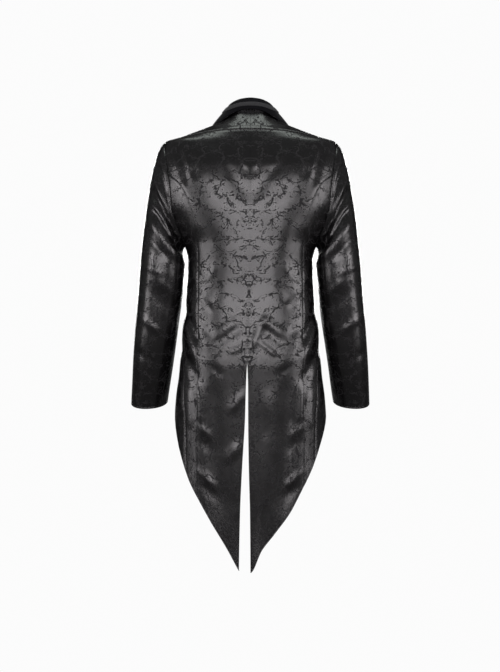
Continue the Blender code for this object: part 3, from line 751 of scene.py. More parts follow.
# %% Grid lines and the panel maker
NEAR_EDGE = (0.0006, 0.0013, 0.0022, 0.0034, 0.0050, 0.0072)
COARSE = 1.0
BACK_STEP = 0.0034 * COARSE
HIDDEN_STEP = 0.0055 * COARSE

# height of a swell or dip, its distance from the edge, and its width
SEAM_SWELL = (0.00015, 0.0060, 0.003)
SEAM_DIP = (0.0003, 0.0, 0.0016)
FOLDED_DIP = (0.0011, 0.0, 0.0012)

# height and distance of the swell beside an armhole
ARMHOLE_SWELL = (0.0006, 0.004)

# depth and width of the dip along a stitched line, and the line's distance from the edge
STITCHED_DIP = (0.0005, 0.0010)
STITCHED_LINE = 0.004
NO_LINE = 1.0

# Place on the bolt of satin where each pair of pieces is cut
BOLT = {
    "back": (0.31, 1.7),
    "side_back": (2.17, 0.4),
    "yoke": (4.11, 1.2),
    "front": (5.21, 0.7),
    "lapel": (6.37, 0.9),
    "upper_sleeve": (7.44, 0.9),
    "under_sleeve": (8.4, 0.9),
}


def grid_lines(length, step, extra=()):
    """Shares of a length where the grid has its lines."""
    spots = {0.0, 1.0}
    for near in NEAR_EDGE:
        spots |= {near / length, 1 - near / length}
    spots |= {place / length for place in extra}
    first = NEAR_EDGE[-1] / length
    count = max(round((1 - 2 * first) * length / step), 1)
    spots |= {mix(first, 1 - first, i / count) for i in range(1, count)}
    return sorted(spots)


def swell(distance, height, place, width):
    """Height of a soft ridge that runs along an edge."""
    return height * bell(distance - place, width)


def pressed_seam(distance):
    """Dip of the cloth into a seam, with the swell of the seam allowance beside it."""
    return swell(distance, *SEAM_SWELL) - swell(distance, *SEAM_DIP)


def set_in_seam(distance):
    """Swell beside an armhole seam. The edge stays put, as the sleeve leaves it in another direction."""
    height, place = ARMHOLE_SWELL
    return height * (distance / place) * math.exp(1 - distance / place)


def partly_armhole(distance, z, end):
    """Edge that is an armhole seam above a height and a pressed seam below it."""
    return mix(pressed_seam(distance), set_in_seam(distance), smooth_step(end - 0.006, end + 0.006, z))


def turned_edge(distance, line=STITCHED_LINE):
    """Roundness of an edge that is folded under, and the dip of its stitched line."""
    height, width = STITCHED_DIP
    return -swell(distance, *FOLDED_DIP) - swell(distance, height, line, width)


def arcs(line, start):
    """Distances along a line of vertices from the one at start, negative before it."""
    spots = [0.0]
    for before, after in zip(line, line[1:]):
        spots.append(spots[-1] + (after.co - before.co).length)
    return [spot - spots[start] for spot in spots]


def lay_uv(bm, rows, grain, base, shift):
    """UV map in metres: across from the column called grain, and down from the row called base."""
    layer = bm.loops.layers.uv.new("cloth")
    across = [arcs(row, grain) for row in rows]
    down = [arcs(column, base) for column in zip(*rows)]
    spots = {}
    for line, row in enumerate(rows):
        for column, vertex in enumerate(row):
            spots[vertex] = (across[line][column] + shift[0], shift[1] - down[column][line])
    for face in bm.faces:
        for loop in face.loops:
            loop[layer].uv = spots[loop.vert]
    return [max(spot[-1] - spot[0] for spot in line) for line in (across, down)]


panel_sizes = {}


def cloth_panel(name, across, down, place, side, shift=(0.0, 0.0), wall=WALL, grain=0, base=0):
    """Panel with grid lines at the shares across and down, carried by place(across, down, out)."""
    bm = bmesh.new()
    columns, lines = len(across) - 1, len(down) - 1
    bmesh.ops.create_grid(bm, x_segments=columns, y_segments=lines, size=0.5)
    rows = [[None] * len(across) for _ in down]
    for vertex in bm.verts:
        column = round((vertex.co.x + 0.5) * columns)
        line = round((vertex.co.y + 0.5) * lines)
        rows[line][column] = vertex
    for line, row in enumerate(rows):
        for column, vertex in enumerate(row):
            vertex.co = place(across[column], down[line], 0.0)
            vertex.co.x *= side
    width, length = lay_uv(bm, rows, round(grain * columns), round(base * lines), shift)
    half_across, half_down = across[columns // 2], down[lines // 2]
    outward = place(half_across, half_down, 0.001) - place(half_across, half_down, 0.0)
    outward.x *= side
    bm.normal_update()
    if rows[lines // 2][columns // 2].normal.dot(outward) < 0:
        bmesh.ops.reverse_faces(bm, faces=bm.faces)
    area = sum(face.calc_area() for face in bm.faces)
    panel = make_object(name, bm)
    solid = panel.modifiers.new("cloth", "SOLIDIFY")
    solid.thickness = wall
    solid.offset = -1.0
    panel_sizes[name] = (width, length, area)
    print(name, len(panel.data.polygons), "faces", [round(v, 3) for v in (width, length, area)])
    return panel


def satin_panel(part, across, down, place, side, **settings):
    """Panel of one side, from its own place on the bolt."""
    name = f"{part}_panel_{SIDE_NAMES[side]}"
    return cloth_panel(name, across, down, place, side, BOLT[part], **settings)


print("grid step on the back:", BACK_STEP)

# %% [markdown]
# ## Back panels
# The back is cut in two long panels that meet at the centre back seam and part below the waist into the two
# tails. The upper edge follows the yoke seam, the outer edge follows the armhole and then the curved seam of
# the side back, and the lower edge climbs from the tail's tip.

# %% Edges of the panels
SPLIT = ring_height(math.radians(SIDE_BACK_RING))
SKIRT_BREAK = -0.720
VENT_TOP = -0.600
HEM_LINE = 0.0045
HEM_GRID = (HEM_LINE * 2.2, 0.014, 0.018)
HEM_STEP = 0.02


def centre_angle(z, side):
    """Angle of a back panel's inner edge; the right half is built mirrored."""
    x = read(CENTRE_BACK, z, 1) * side + read(CENTRE_BACK, z, 2 if side > 0 else 3)
    return angle_across(x, z)


def princess_angle(z):
    return angle_across(read(PRINCESS, z, 1), z)


def side_angle(z):
    return math.radians(read(SIDE_SEAM, z, 1))


def hem_height(angle, side):
    return read(HEM, math.degrees(angle), 1 if side > 0 else 2)


def column_bottom(angle_of, side):
    """Height where a column meets the lower edge."""
    return find(HEM[0][1], HEM_TOP, lambda z: z < hem_height(angle_of(z), side))


def hem_gap(angle, z, side):
    """Distance to the lower edge, square to it."""
    rise = hem_height(angle + HEM_STEP, side) - hem_height(angle - HEM_STEP, side)
    slope = rise / (2 * HEM_STEP) / trunk_base(angle, z).length
    return (z - hem_height(angle, side)) / math.hypot(1.0, slope)


def back_outer(z):
    return armhole_angle(z, False) if z > SPLIT else princess_angle(z)


def side_back_outer(z):
    return armhole_angle(z, False) if z > ARMHOLE_BOTTOM else side_angle(z)


def yoke_seam_point(share):
    x = YOKE_SEAM[-1][0] * share
    return x, read(YOKE_SEAM, x, 1)


def levels(down, heights):
    """Height at a place down a column, where heights holds the ends of its stretches."""
    stretch = min(int(down), len(heights) - 2)
    return mix(heights[stretch], heights[stretch + 1], down - stretch)


def stretches(lengths, step, extra=()):
    """Grid lines for a column of several stretches, numbered 0 to 1, 1 to 2 and so on."""
    lines = []
    for number, length in enumerate(lengths):
        count = max(round(length / step), 2)
        lines += [number + i / count for i in range(count)]
    top = [near / lengths[0] for near in NEAR_EDGE]
    bottom = [len(lengths) - near / lengths[-1] for near in NEAR_EDGE]
    bottom += [len(lengths) - place / lengths[-1] for place in extra]
    return sorted(set(lines + top + bottom + [len(lengths)]))


print("side back starts at", round(SPLIT, 4))

# %% Back panels
PUCKER_LENGTH = 0.011
PUCKER_HEIGHT = 0.0007
PUCKER_WIDTH = 0.010
VENT_LINE = 0.0035


def seam_pucker(distance, z):
    """Small waves that the centre back seam draws into the cloth below the waist."""
    strength = smooth_step(WAIST, WAIST - 0.10, z) * bell(distance, PUCKER_WIDTH)
    uneven = 0.6 + noise.noise(Vector((3.0, 0.0, z * 60)))
    return PUCKER_HEIGHT * strength * uneven * math.sin(z * math.tau / PUCKER_LENGTH)


def make_back(side):
    bottoms = {}

    def turn(share, z):
        return mix(centre_angle(z, side), back_outer(z), share)

    def place(share, down, out):
        if share not in bottoms:
            bottoms[share] = column_bottom(lambda z: turn(share, z), side)
        top_x, top_z = yoke_seam_point(share)
        z = levels(down, (top_z, SPLIT, SKIRT_BREAK, bottoms[share]))
        angle = mix(angle_across(top_x, z), turn(share, z), smooth_step(0.0, 0.6, down))
        width = chord(back_outer(z), centre_angle(z, side), z)
        inner, outer = share * width, (1 - share) * width
        lift = partly_armhole(outer, z, SPLIT) + pressed_seam((top_z - z) * 1.2)
        vent = smooth_step(VENT_TOP + 0.01, VENT_TOP - 0.01, z)
        lift += mix(pressed_seam(inner), turned_edge(inner, VENT_LINE), vent)
        lift += seam_pucker(inner, z) * (1 - vent)
        lift += turned_edge(hem_gap(angle, z, side), HEM_LINE)
        return trunk(angle, z, side, lift + out)

    across = grid_lines(0.150, BACK_STEP, (VENT_LINE,))
    down = stretches((0.080, 0.590, 0.370), BACK_STEP, HEM_GRID)
    return satin_panel("back", across, down, place, side), place


back_panels = {side: make_back(side) for side in SIDE_NAMES}

# %% [markdown]
# ## Side backs
# The side back is a narrow panel. It starts as a point at the armhole, runs down inside the curved seam, and
# widens over the hip into the outer part of the tail.

# %% Side backs
def make_side_back(side):
    bottoms = {}

    def turn(share, z):
        return mix(princess_angle(z), side_back_outer(z), share)

    def place(share, down, out):
        if share not in bottoms:
            bottoms[share] = column_bottom(lambda z: turn(share, z), side)
        bottom = min(bottoms[share], SKIRT_BREAK - 0.002)
        z = levels(down, (SPLIT - 0.0008, ARMHOLE_BOTTOM, SKIRT_BREAK, bottom))
        angle = turn(share, z)
        width = chord(side_back_outer(z), princess_angle(z), z)
        lift = pressed_seam(share * width) + partly_armhole((1 - share) * width, z, ARMHOLE_BOTTOM)
        lift += turned_edge(hem_gap(angle, z, side), HEM_LINE)
        return trunk(angle, z, side, lift + out)

    across = grid_lines(0.060, BACK_STEP)
    down = stretches((0.140, 0.420, 0.180), BACK_STEP, HEM_GRID)
    return satin_panel("side_back", across, down, place, side)


side_back_panels = {side: make_side_back(side) for side in SIDE_NAMES}

# %% [markdown]
# ## Yoke
# The yoke is the piece over the shoulders. Its lower edge is lapped over the back panels, so it ends in a
# small raised lip that catches the light. At the neck it meets the collar.

# %% Collar table
# angle, seam height, rise to the fold, edge distance from the axis, edge height
COLLAR = (
    (0.0, 0.0325, 0.0244, 0.0570, 0.0312),
    (25.0, 0.0320, 0.0228, 0.0590, 0.0288),
    (50.0, 0.0300, 0.0192, 0.0670, 0.0192),
    (70.0, 0.0275, 0.0172, 0.0795, 0.0070),
    (90.0, 0.0235, 0.0158, 0.0940, -0.0003),
    (108.0, 0.0170, 0.0140, 0.1000, -0.0030),
    (124.0, 0.0040, 0.0110, 0.0970, -0.0145),
)
COLLAR_END = 124.0
COLLAR_ROLL = 0.0031
COLLAR_BELLY = 0.0015
LIP_HEIGHT = 0.0010
LIP_DIP = (0.0013, 0.0, 0.0010)
NECK_GAP = 0.0005
LAY_GAP = 0.0008
FRONT_TOP_ANGLE = 99.0
NECK_SHARE = 5 / 9
SHOULDER_SEAM_ARM = -0.0155


def neck_seam(angle, out=0.0):
    """Point of the neck seam on the trunk, by angle in degrees."""
    z = read(COLLAR, angle, 1)
    return trunk_base(math.radians(angle), z) + trunk_normal(math.radians(angle), z) * out


def shoulder_seam_y(x):
    """Place of the shoulder seam from back to front, on its way from the neck seam to the armhole."""
    neck = neck_seam(FRONT_TOP_ANGLE)
    return mix(neck.y, SHOULDER_SEAM_ARM, (x - neck.x) / (YOKE_SEAM[-1][0] - neck.x))


print("neck corner:", [round(v, 4) for v in neck_seam(FRONT_TOP_ANGLE)])

# %% Yoke panels
def raised_lip(distance):
    """A lapped edge: it stands up a little and falls off round."""
    return LIP_HEIGHT * smooth_step(0.0110, 0.0030, distance) - swell(distance, *LIP_DIP)


def make_yoke(side):
    edges = {}

    def plan(share):
        """Plan points of the yoke seam and of the opposite edge."""
        x, z = yoke_seam_point(share)
        low = Vector((x, other_side(x, *section(z))))
        if share < NECK_SHARE:
            return low, neck_seam(FRONT_TOP_ANGLE * share / NECK_SHARE).xy
        past = (share - NECK_SHARE) / (1 - NECK_SHARE)
        x = mix(neck_seam(FRONT_TOP_ANGLE).x, YOKE_SEAM[-1][0], past)
        return low, Vector((x, shoulder_seam_y(x)))

    def place(share, up, out):
        if share not in edges:
            edges[share] = plan(share)
        low, high = edges[share]
        spot = low.lerp(high, up)
        z = top_height(spot.x, spot.y)
        length = max((high - low).length * 1.15, 0.03)
        lift = raised_lip(up * length) + pressed_seam(spot.x) + set_in_seam((1 - share) * 0.17)
        if share > NECK_SHARE:
            lift += pressed_seam((1 - up) * length)
        return trunk(math.atan2(spot.x, spot.y), z, side, lift + out)

    across = grid_lines(0.190, BACK_STEP, (0.1055,))
    down = grid_lines(0.060, BACK_STEP)
    return satin_panel("yoke", across, down, place, side)


yoke_panels = {side: make_yoke(side) for side in SIDE_NAMES}

# %% [markdown]
# ## Fronts and lapels
# The camera never sees the fronts from behind, so they stay plain: cut away from the waist round to the
# tails, lapped left over right at the middle, with lapels turned back from the edge in a soft roll.

# %% Fronts
# height, place across the front
FRONT_EDGE = (
    (0.004, 0.0600),
    (-0.015, 0.0720),
    (-0.040, 0.0770),
    (-0.090, 0.0730),
    (-0.160, 0.0560),
    (-0.250, 0.0250),
    (-0.350, -0.0180),
    (-0.500, -0.0180),
)
UNDERLAP_INSET = 0.0032
UNDERLAP_START = 0.052
UNDERLAP_FULL = 0.030


def front_outer(z):
    """Outer edge of a front: shoulder seam, then armhole, then side seam."""
    if z > ring_height(math.radians(YOKE_RING)):
        half, depth = section(z, False)
        y = shoulder_seam_y(half)
        return math.atan2(other_side(y, depth, half), y)
    return armhole_angle(z, True) if z > ARMHOLE_BOTTOM else side_angle(z)


def front_inner(z):
    """Inner edge of a front: neck seam, then the edge where the lapel turns back."""
    if z > COLLAR[-1][1]:
        return math.radians(find(90.0, COLLAR_END, lambda angle: read(COLLAR, angle, 1) > z))
    return angle_across(read(FRONT_EDGE, z, 1), z, True)


def front_angle(share, z):
    return mix(front_outer(z), front_inner(z), share)


def front_out(angle, z, side):
    """The right front lies under the left one where they overlap."""
    x = trunk_base(angle, z).x
    return 0.0 if side > 0 else -UNDERLAP_INSET * smooth_step(UNDERLAP_START, UNDERLAP_FULL, x)


def make_front(side):
    bottoms = {}

    def place(share, down, out):
        if share not in bottoms:
            bottoms[share] = column_bottom(lambda z: front_angle(share, z), side)
        z = levels(down, (read(COLLAR, FRONT_TOP_ANGLE, 1) - 0.0004, ARMHOLE_BOTTOM, bottoms[share]))
        angle = front_angle(share, z)
        width = chord(front_outer(z), front_inner(z), z)
        on_body = z < ring_height(math.radians(YOKE_RING))
        lift = partly_armhole(share * width, z, ARMHOLE_BOTTOM) if on_body else pressed_seam(share * width)
        if z < COLLAR[-1][1]:
            lift += turned_edge((1 - share) * width)
        lift += turned_edge(hem_gap(angle, z, side), HEM_LINE)
        return trunk(angle, z, side, lift + out + front_out(angle, z, side))

    across = grid_lines(0.200, HIDDEN_STEP, (STITCHED_LINE,))
    down = stretches((0.330, 0.300), HIDDEN_STEP, (HEM_LINE * 1.4,))
    return satin_panel("front", across, down, place, side)


front_panels = {side: make_front(side) for side in SIDE_NAMES}

# %% Lapels
# height, width as a part of the front's width
LAPEL = (
    (0.000, 0.40),
    (-0.060, 0.52),
    (-0.110, 0.46),
    (-0.200, 0.34),
    (-0.300, 0.13),
)
LAPEL_TOP = -0.0235
LAPEL_BOTTOM = -0.2944
LAPEL_LENGTH = 0.27
LAPEL_ROLL = 0.0030
LAPEL_CREASE = 0.0012


def make_lapel(side):
    def place(share, down, out):
        z = mix(LAPEL_TOP, LAPEL_BOTTOM, down)
        across = read(LAPEL, z, 1) * share
        angle = front_angle(1.0 - across, z)
        width = chord(front_outer(z), front_inner(z), z)
        edge = (read(LAPEL, z, 1) - across) * width
        roll = LAPEL_ROLL * math.sin(math.pi * min(share * 1.6, 1.0))
        lift = WALL + LAY_GAP + roll * smooth_step(1.0, 0.6, down)
        lift += turned_edge(edge) + turned_edge(down * LAPEL_LENGTH) - LAPEL_CREASE * bell(share * 60, 1.0)
        return trunk(angle, z, side, lift + out + front_out(angle, z, side))

    across = grid_lines(0.075, HIDDEN_STEP, (0.071,))
    down = grid_lines(LAPEL_LENGTH, HIDDEN_STEP, (STITCHED_LINE,))
    return satin_panel("lapel", across, down, place, side)


lapel_panels = {side: make_lapel(side) for side in SIDE_NAMES}

# %% [markdown]
# ## Sleeves
# A tailored sleeve has two pieces: a wide upper sleeve and a narrow under sleeve, with a hind seam and a
# fore seam. The cuff is a hem turned in by 17 mm and stitched, which shows as a fine line round the wrist.

# %% Sleeves
CUFF_LINE = 0.017
SLEEVE_LENGTH = 0.640
SLEEVE_RADIUS = 0.055


def make_sleeve(part, first, last, side):
    start, end = math.radians(first), math.radians(last)
    width = (end - start) * SLEEVE_RADIUS

    def place(share, down, out):
        lift = pressed_seam(share * width) + pressed_seam((1 - share) * width)
        lift *= smooth_step(0.0, 0.02, down)
        lift += set_in_seam(down * SLEEVE_LENGTH) + turned_edge((1 - down) * SLEEVE_LENGTH, CUFF_LINE)
        return sleeve(mix(start, end, share), down, side, lift + out)

    across = grid_lines(width, BACK_STEP)
    cuff = [1 - (CUFF_LINE + near) / SLEEVE_LENGTH for near in (-0.0022, -0.0011, 0.0, 0.0011, 0.0022)]
    down = sorted(set(grid_lines(SLEEVE_LENGTH, BACK_STEP * 1.15) + cuff))
    return satin_panel(part, across, down, place, side, grain=0.5, base=1), place


upper_sleeves = {}
under_sleeves = {}
for side in SIDE_NAMES:
    upper_sleeves[side] = make_sleeve("upper_sleeve", FORE_SEAM - 360, HIND_SEAM, side)
    under_sleeves[side] = make_sleeve("under_sleeve", HIND_SEAM, FORE_SEAM, side)

# %% [markdown]
# ## Collar
# The velvet collar stands up from the neck seam, rolls over, and falls as a leaf that widens over the
# shoulders. A plain grey band lies round the leaf, and its ends run out to nothing.

# %% Collar and band
# angle, upper edge and lower edge as parts of the leaf
BAND = (
    (0.0, 0.36, 0.72),
    (45.0, 0.30, 0.64),
    (75.0, 0.16, 0.44),
    (112.0, 0.08, 0.20),
)
BAND_WALL = 0.001
BAND_END = 105.0
BAND_DIP = (0.0006, 0.0, 0.0008)
LEAF_LENGTH = 0.030
COLLAR_STEP = 0.0035 * COARSE


def collar(angle, row, out=0.0):
    """Point of the collar: row 0 to 1 is the stand, 1 to 2 the roll, 2 to 3 the leaf."""
    turn = math.radians(abs(angle))
    seam = neck_seam(abs(angle), -WALL)
    outward = Vector((math.sin(turn), math.cos(turn), 0.0))
    at_seam = trunk_normal(turn, read(COLLAR, abs(angle), 1))
    seam.z += NECK_GAP
    fold = seam + Vector((0.0, 0.0, read(COLLAR, abs(angle), 2)))
    edge = outward * read(COLLAR, abs(angle), 3)
    edge.z = read(COLLAR, abs(angle), 4)
    centre = fold + outward * COLLAR_ROLL
    leaf = (edge - centre - outward * COLLAR_ROLL).normalized()
    away = (outward - leaf * outward.dot(leaf)).normalized()
    end_turn = math.atan2(away.z, away.dot(outward))
    if row <= 1:
        point = seam.lerp(fold, row)
        normal = -at_seam.lerp(outward, row)
    elif row <= 2:
        swing = mix(math.pi, end_turn, row - 1)
        normal = outward * math.cos(swing) + Vector((0.0, 0.0, math.sin(swing)))
        point = centre + normal * COLLAR_ROLL
    else:
        normal = away
        belly = COLLAR_BELLY * math.sin(math.pi * (row - 2))
        point = (centre + away * COLLAR_ROLL).lerp(edge, row - 2) + away * belly
    point = point + normal * out
    point.x = math.copysign(point.x, angle) if angle else 0.0
    return point


def collar_place(share, down, out):
    angle = mix(-COLLAR_END, COLLAR_END, share)
    edge = (3 - down) * LEAF_LENGTH if down > 2 else 1.0
    end = (1 - abs(2 * share - 1)) * 0.11
    lift = turned_edge(edge, NO_LINE) + turned_edge(end, NO_LINE)
    return collar(angle, down, lift + out)


def band_place(share, down, out):
    angle = mix(-BAND_END, BAND_END, share)
    spot = mix(read(BAND, abs(angle), 1), read(BAND, abs(angle), 2), down)
    edge = min(down, 1 - down) * 0.010
    lift = BAND_WALL + LAY_GAP - swell(edge, *BAND_DIP)
    return collar(angle, 2 + spot, lift + out)


stand = [i / 6 for i in range(6)]
roll = [1 + i / 14 for i in range(14)]
leaf = [2 + line for line in grid_lines(LEAF_LENGTH, 0.0024 * COARSE)]
across = grid_lines(0.42, COLLAR_STEP)
collar_panel = cloth_panel("collar_velvet", across, stand + roll + leaf, collar_place, 1)
across, down = grid_lines(0.38, COLLAR_STEP), grid_lines(0.012, 0.0020)
band_panel = cloth_panel("collar_band_strip", across, down, band_place, 1, wall=BAND_WALL)

# %% [markdown]
# ## Buttons
# Two buttons close the front. Each is turned like a real one: a domed rim round a sunken middle with four
# small discs where the holes are. A profile is spun round the axis, so the rim stays truly round.

# %% Buttons
BUTTON_HEIGHTS = {"button_upper": -0.362, "button_lower": -0.412}
HOLE_RADIUS = 0.0011
HOLE_PLACE = 0.0021
HOLE_HEIGHT = 0.0022

# distance from the axis and height, from the back's middle round the rim to the front's middle
BUTTON_PROFILE = (
    (0.0, 0.0),
    (0.0068, 0.0),
    (0.0086, 0.0005),
    (0.0095, 0.0015),
    (0.0093, 0.0026),
    (0.0084, 0.0034),
    (0.0072, 0.0033),
    (0.0062, 0.0024),
    (0.0050, 0.0021),
    (0.0, 0.0021),
)


def on_trunk_front(z, lift):
    """Matrix that carries an upright shape to the centre front, lifted off the cloth."""
    normal = trunk_normal(math.pi, z)
    turn = normal.to_track_quat("Z", "Y").to_matrix().to_4x4()
    turn.translation = trunk_base(math.pi, z) + normal * lift
    return turn


def make_button(name, z):
    bm = bmesh.new()
    last = None
    for distance, height in BUTTON_PROFILE:
        vertex = bm.verts.new((distance, 0.0, height))
        if last:
            bm.edges.new((last, vertex))
        last = vertex
    bmesh.ops.spin(
        bm, geom=bm.verts[:] + bm.edges[:], cent=(0, 0, 0), axis=(0, 0, 1), angle=math.tau, steps=48,
        use_merge=True,
    )
    bmesh.ops.remove_doubles(bm, verts=bm.verts, dist=0.00002)
    bmesh.ops.recalc_face_normals(bm, faces=bm.faces)
    for quarter in range(4):
        turn = quarter * math.tau / 4 + math.tau / 8
        hole = bmesh.ops.create_cone(
            bm, cap_ends=True, segments=12, radius1=HOLE_RADIUS, radius2=HOLE_RADIUS, depth=0.0002,
        )
        spot = (HOLE_PLACE * math.cos(turn), HOLE_PLACE * math.sin(turn), HOLE_HEIGHT)
        bmesh.ops.translate(bm, vec=spot, verts=hole["verts"])
    bmesh.ops.transform(bm, matrix=on_trunk_front(z, LAY_GAP), verts=bm.verts)
    button = make_object(name, bm)
    button.data.set_sharp_from_angle(angle=math.radians(50))
    return button


buttons = {node: make_button(f"{node}_turned", z) for node, z in BUTTON_HEIGHTS.items()}
print("buttons:", len(buttons))

# %% [markdown]
# ## Stitches
# The vent and the cuffs are stitched with black thread. A stitch is one small stretched ball, and rows of
# them follow lines on the panels. The same `place` functions that shaped the cloth carry them, so each stitch
# sits in the dip of its own line.

# %% Stitches
STITCH = 0.0032
STITCH_GAP = 0.0014
THREAD = 0.00028
THREAD_LIFT = 0.0002
VENT_START = 1.80
VENT_RUN = 1.17
VENT_SHARE = VENT_LINE / 0.125


def sew(bm, route, side):
    """Row of stitches along a route of points."""
    points = [Vector((point.x * side, point.y, point.z)) for point in route]
    left_over = 0.0
    for start, end in zip(points, points[1:]):
        length = (end - start).length
        if length == 0:
            continue
        place = left_over
        while place < length:
            centre = start.lerp(end, place / length)
            turn = (end - start).to_track_quat("X", "Z").to_matrix().to_4x4()
            turn.translation = centre
            ball = bmesh.ops.create_icosphere(bm, subdivisions=1, radius=1.0)
            bmesh.ops.scale(bm, vec=(STITCH / 2, THREAD, THREAD), verts=ball["verts"])
            bmesh.ops.transform(bm, matrix=turn, verts=ball["verts"])
            place += STITCH + STITCH_GAP
        left_over = place - length


def rows_of_stitches(side):
    """Every stitched line of one side of the coat."""
    bm = bmesh.new()
    steps = 200
    for sleeves in (upper_sleeves, under_sleeves):
        place = sleeves[side][1]
        down = 1 - CUFF_LINE / SLEEVE_LENGTH
        sew(bm, [place(i / steps, down, THREAD_LIFT) for i in range(steps + 1)], side)
    place = back_panels[side][1]
    downs = [VENT_START + VENT_RUN * i / steps for i in range(steps + 1)]
    sew(bm, [place(VENT_SHARE, down, THREAD_LIFT) for down in downs], side)
    thread = make_object(f"stitches_{SIDE_NAMES[side]}", bm)
    print(thread.name, len(thread.data.polygons), "faces")
    return thread


threads = {side: rows_of_stitches(side) for side in SIDE_NAMES}

# %% [markdown]
# ## The satin jacquard
# Jacquard satin has a smooth glossy ground, and a pattern that the loom weaves with another binding, which
# is duller. Under the light the ground shines and the veins look dark. Out of the light the ground goes
# black and the veins look a little paler. So the cloth is two finishes, a glossy black one and a dull grey
# one, and the veins say which of them shows. The vein net is the border of Voronoi cells, bent by noise and
# broken in places.

# %% Satin jacquard
VEIN = (0.0150, 0.0146, 0.0154, 1.0)
GROUND = (0.0030, 0.0027, 0.0030, 1.0)


def vein_net(border, width):
    """Lines along the borders of cells, from the distance to the nearest border."""
    return 1 - border.finish.between(border, width * 0.45, width)


def make_jacquard():
    cloth = Finish("satin_jacquard", Base_Color=GROUND, Specular_IOR_Level=0.62)
    metres = cloth.on_cloth()

    def cloud(scale, *more):
        return cloth.cloud(metres, scale, *more, flat=True)

    def cells(where, scale):
        settings = {"feature": "DISTANCE_TO_EDGE", "voronoi_dimensions": "2D"}
        return cloth.node("ShaderNodeTexVoronoi", settings, {"Vector": where, "Scale": scale})

    def shifted(where, shift, amount):
        """Places moved by a noise or by the colour of a cell, which tears a line into jagged bits."""
        inputs = {0: shift, 1: (0.5, 0.5, 0.5)}
        away = cloth.node("ShaderNodeVectorMath", {"operation": "SUBTRACT"}, inputs)
        inputs = {0: away, 1: (amount, amount, 0.0), 2: where}
        return cloth.node("ShaderNodeVectorMath", {"operation": "MULTIPLY_ADD"}, inputs)

    scattered = {"Vector": metres, "Scale": 130.0}
    bits = cloth.node("ShaderNodeTexVoronoi", {"voronoi_dimensions": "2D"}, scattered, 1)
    bend = shifted(shifted(metres, cloud(28.0, 3.0, 0.6, 1), 0.018), bits, 0.0044)
    wide = cloth.node("ShaderNodeVectorMath", {"operation": "MULTIPLY"}, {0: bend, 1: (0.80, 1.25, 1.0)})
    far = cells(wide, 23.0)
    patch = cloud(70.0)
    beside = 1 - cloth.between(far, 0.14, 0.30)
    large = vein_net(far, 0.046) * cloth.between(patch, 0.41, 0.44)
    small = vein_net(cells(wide, 62.0), 0.095) * beside * cloth.between(patch, 0.49, 0.52)
    specks = cloth.between(cloud(190.0), 0.66, 0.68) * beside
    vein = large.math("MAXIMUM", large, small.math("MAXIMUM", small, specks))
    weave = cloud(900.0, 1.0)
    wave = {"Vector": metres, "Scale": 650.0, "Distortion": 1.5}
    threads = cloth.node("ShaderNodeTexWave", {"bands_direction": "DIAGONAL"}, wave)
    height = threads * 0.35 + weave * 0.5 - vein * 0.3
    grain = cloth.relief(height, 0.25, 0.0003)
    cloth.drive(Roughness=0.20 + weave * 0.06)
    matt = {"Base Color": VEIN, "Roughness": 0.8, "Specular IOR Level": 0.2, "Normal": grain}
    cloth.cover(vein, cloth.node("ShaderNodeBsdfPrincipled", None, matt))
    return cloth.material


satin = make_jacquard()
print("satin nodes:", len(satin.node_tree.nodes))

# %% [markdown]
# ## Velvet, band, horn and thread
# Velvet is nearly black from the front and pale at grazing angles, which the sheen of the shader gives. The
# band is plain cloth with a fine rib. Horn is smooth with faint clouds.

# %% Other finishes
def make_velvet():
    sheen = {"Sheen_Weight": 0.15, "Sheen_Roughness": 0.35}
    pile = Finish("velvet_pile", Specular_IOR_Level=0.15, Roughness=1.0, **sheen)
    nap = pile.cloud(pile.on_object(), 55.0, 4.0)
    pile.drive(Base_Color=pile.blend(nap, (0.0020, 0.0020, 0.0028, 1.0), (0.0055, 0.0055, 0.0070, 1.0)))
    pile.relief(pile.cloud(pile.on_object(), 1400.0, 1.0), 0.5)
    return pile.material


def make_band_cloth():
    plain = Finish("band_cloth", Specular_IOR_Level=0.25, Sheen_Weight=0.1)
    wave = {"Vector": plain.on_cloth(), "Scale": 160.0, "Distortion": 0.6}
    rib = plain.node("ShaderNodeTexWave", {"bands_direction": "X"}, wave)
    fleck = plain.cloud(plain.on_cloth(), 420.0, flat=True)
    shade = rib * 0.35 + fleck * 0.65
    plain.drive(Base_Color=plain.blend(shade, (0.012, 0.012, 0.013, 1.0), (0.040, 0.040, 0.043, 1.0)))
    plain.drive(Roughness=0.75 + fleck * 0.15)
    plain.relief(shade, 0.4)
    return plain.material


def make_horn():
    horn = Finish("dark_horn", Coat_Roughness=0.12, Coat_Weight=0.5)
    cloud = horn.cloud(horn.on_object(), 160.0, 3.0)
    horn.drive(Base_Color=horn.blend(cloud, (0.004, 0.004, 0.004, 1.0), (0.020, 0.018, 0.016, 1.0)))
    horn.drive(Roughness=0.22 + cloud * 0.12)
    return horn.material


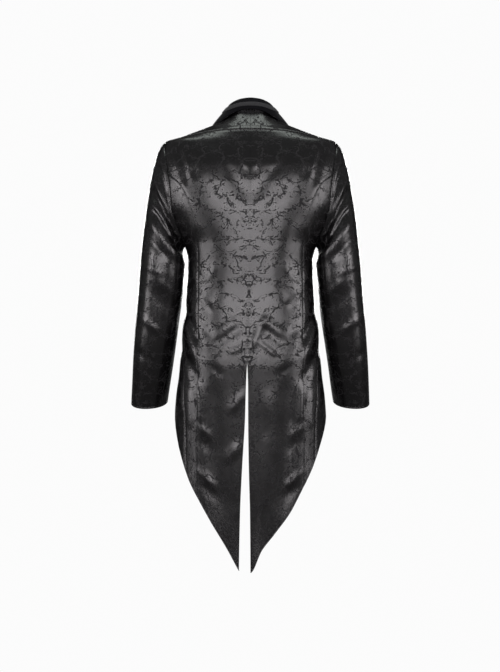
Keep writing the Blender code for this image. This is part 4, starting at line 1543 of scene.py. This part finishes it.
def make_thread():
    thread = Finish("black_thread", Specular_IOR_Level=0.3)
    twist = thread.cloud(thread.on_object(), 1800.0)
    thread.drive(Base_Color=thread.blend(twist, (0.004, 0.004, 0.004, 1.0), (0.016, 0.016, 0.017, 1.0)))
    thread.drive(Roughness=0.55 + twist * 0.2)
    return thread.material


velvet, band_cloth, horn, black_thread = make_velvet(), make_band_cloth(), make_horn(), make_thread()
print("finishes:", [item.name for item in (velvet, band_cloth, horn, black_thread)])

# %% [markdown]
# ## Put the coat on its frame
# Each panel rides on the frame's one body and stands for its solid, which is hidden. The size of its cut is
# worked out, but nothing uses it.

# %% Riding on the body and hiding the solids
def wear(piece, finish, node=None):
    piece.data.materials.append(finish)
    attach(piece, "root")
    if node:
        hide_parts(node)


# Cuts whose edges slant, as width and length
CUTS = {"front": (0.270, 0.900), "upper_sleeve": (0.340, 0.670), "under_sleeve": (0.150, 0.490)}


def declare(panel, rests_on, with_pieces=()):
    width, length, area = panel_sizes[panel.name]
    width, length = CUTS.get(panel.name.split("_panel")[0], (width, length))
    area = min(area, width * length)
    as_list(rests_on)


for side, name in SIDE_NAMES.items():
    wear(threads[side], black_thread)
    cut = {
        "yoke": yoke_panels[side],
        "back": back_panels[side][0],
        "side_back": side_back_panels[side],
        "front": front_panels[side],
        "lapel": lapel_panels[side],
        "upper_sleeve": upper_sleeves[side][0],
        "under_sleeve": under_sleeves[side][0],
    }
    hangs_from = {
        "yoke": [],
        "back": [cut["yoke"]],
        "side_back": [cut["back"]],
        "front": [cut["yoke"]],
        "lapel": [cut["front"]],
        "upper_sleeve": [cut["yoke"]],
        "under_sleeve": [cut["upper_sleeve"]],
    }
    for part, panel in cut.items():
        wear(panel, satin, f"{part}_{name}")
        declare(panel, hangs_from[part], with_pieces=[threads[side]] if part == "back" else ())

wear(collar_panel, velvet, "collar")
declare(collar_panel, list(yoke_panels.values()))
wear(band_panel, band_cloth, "collar_band")
declare(band_panel, [collar_panel])
for node, button in buttons.items():
    wear(button, horn, node)
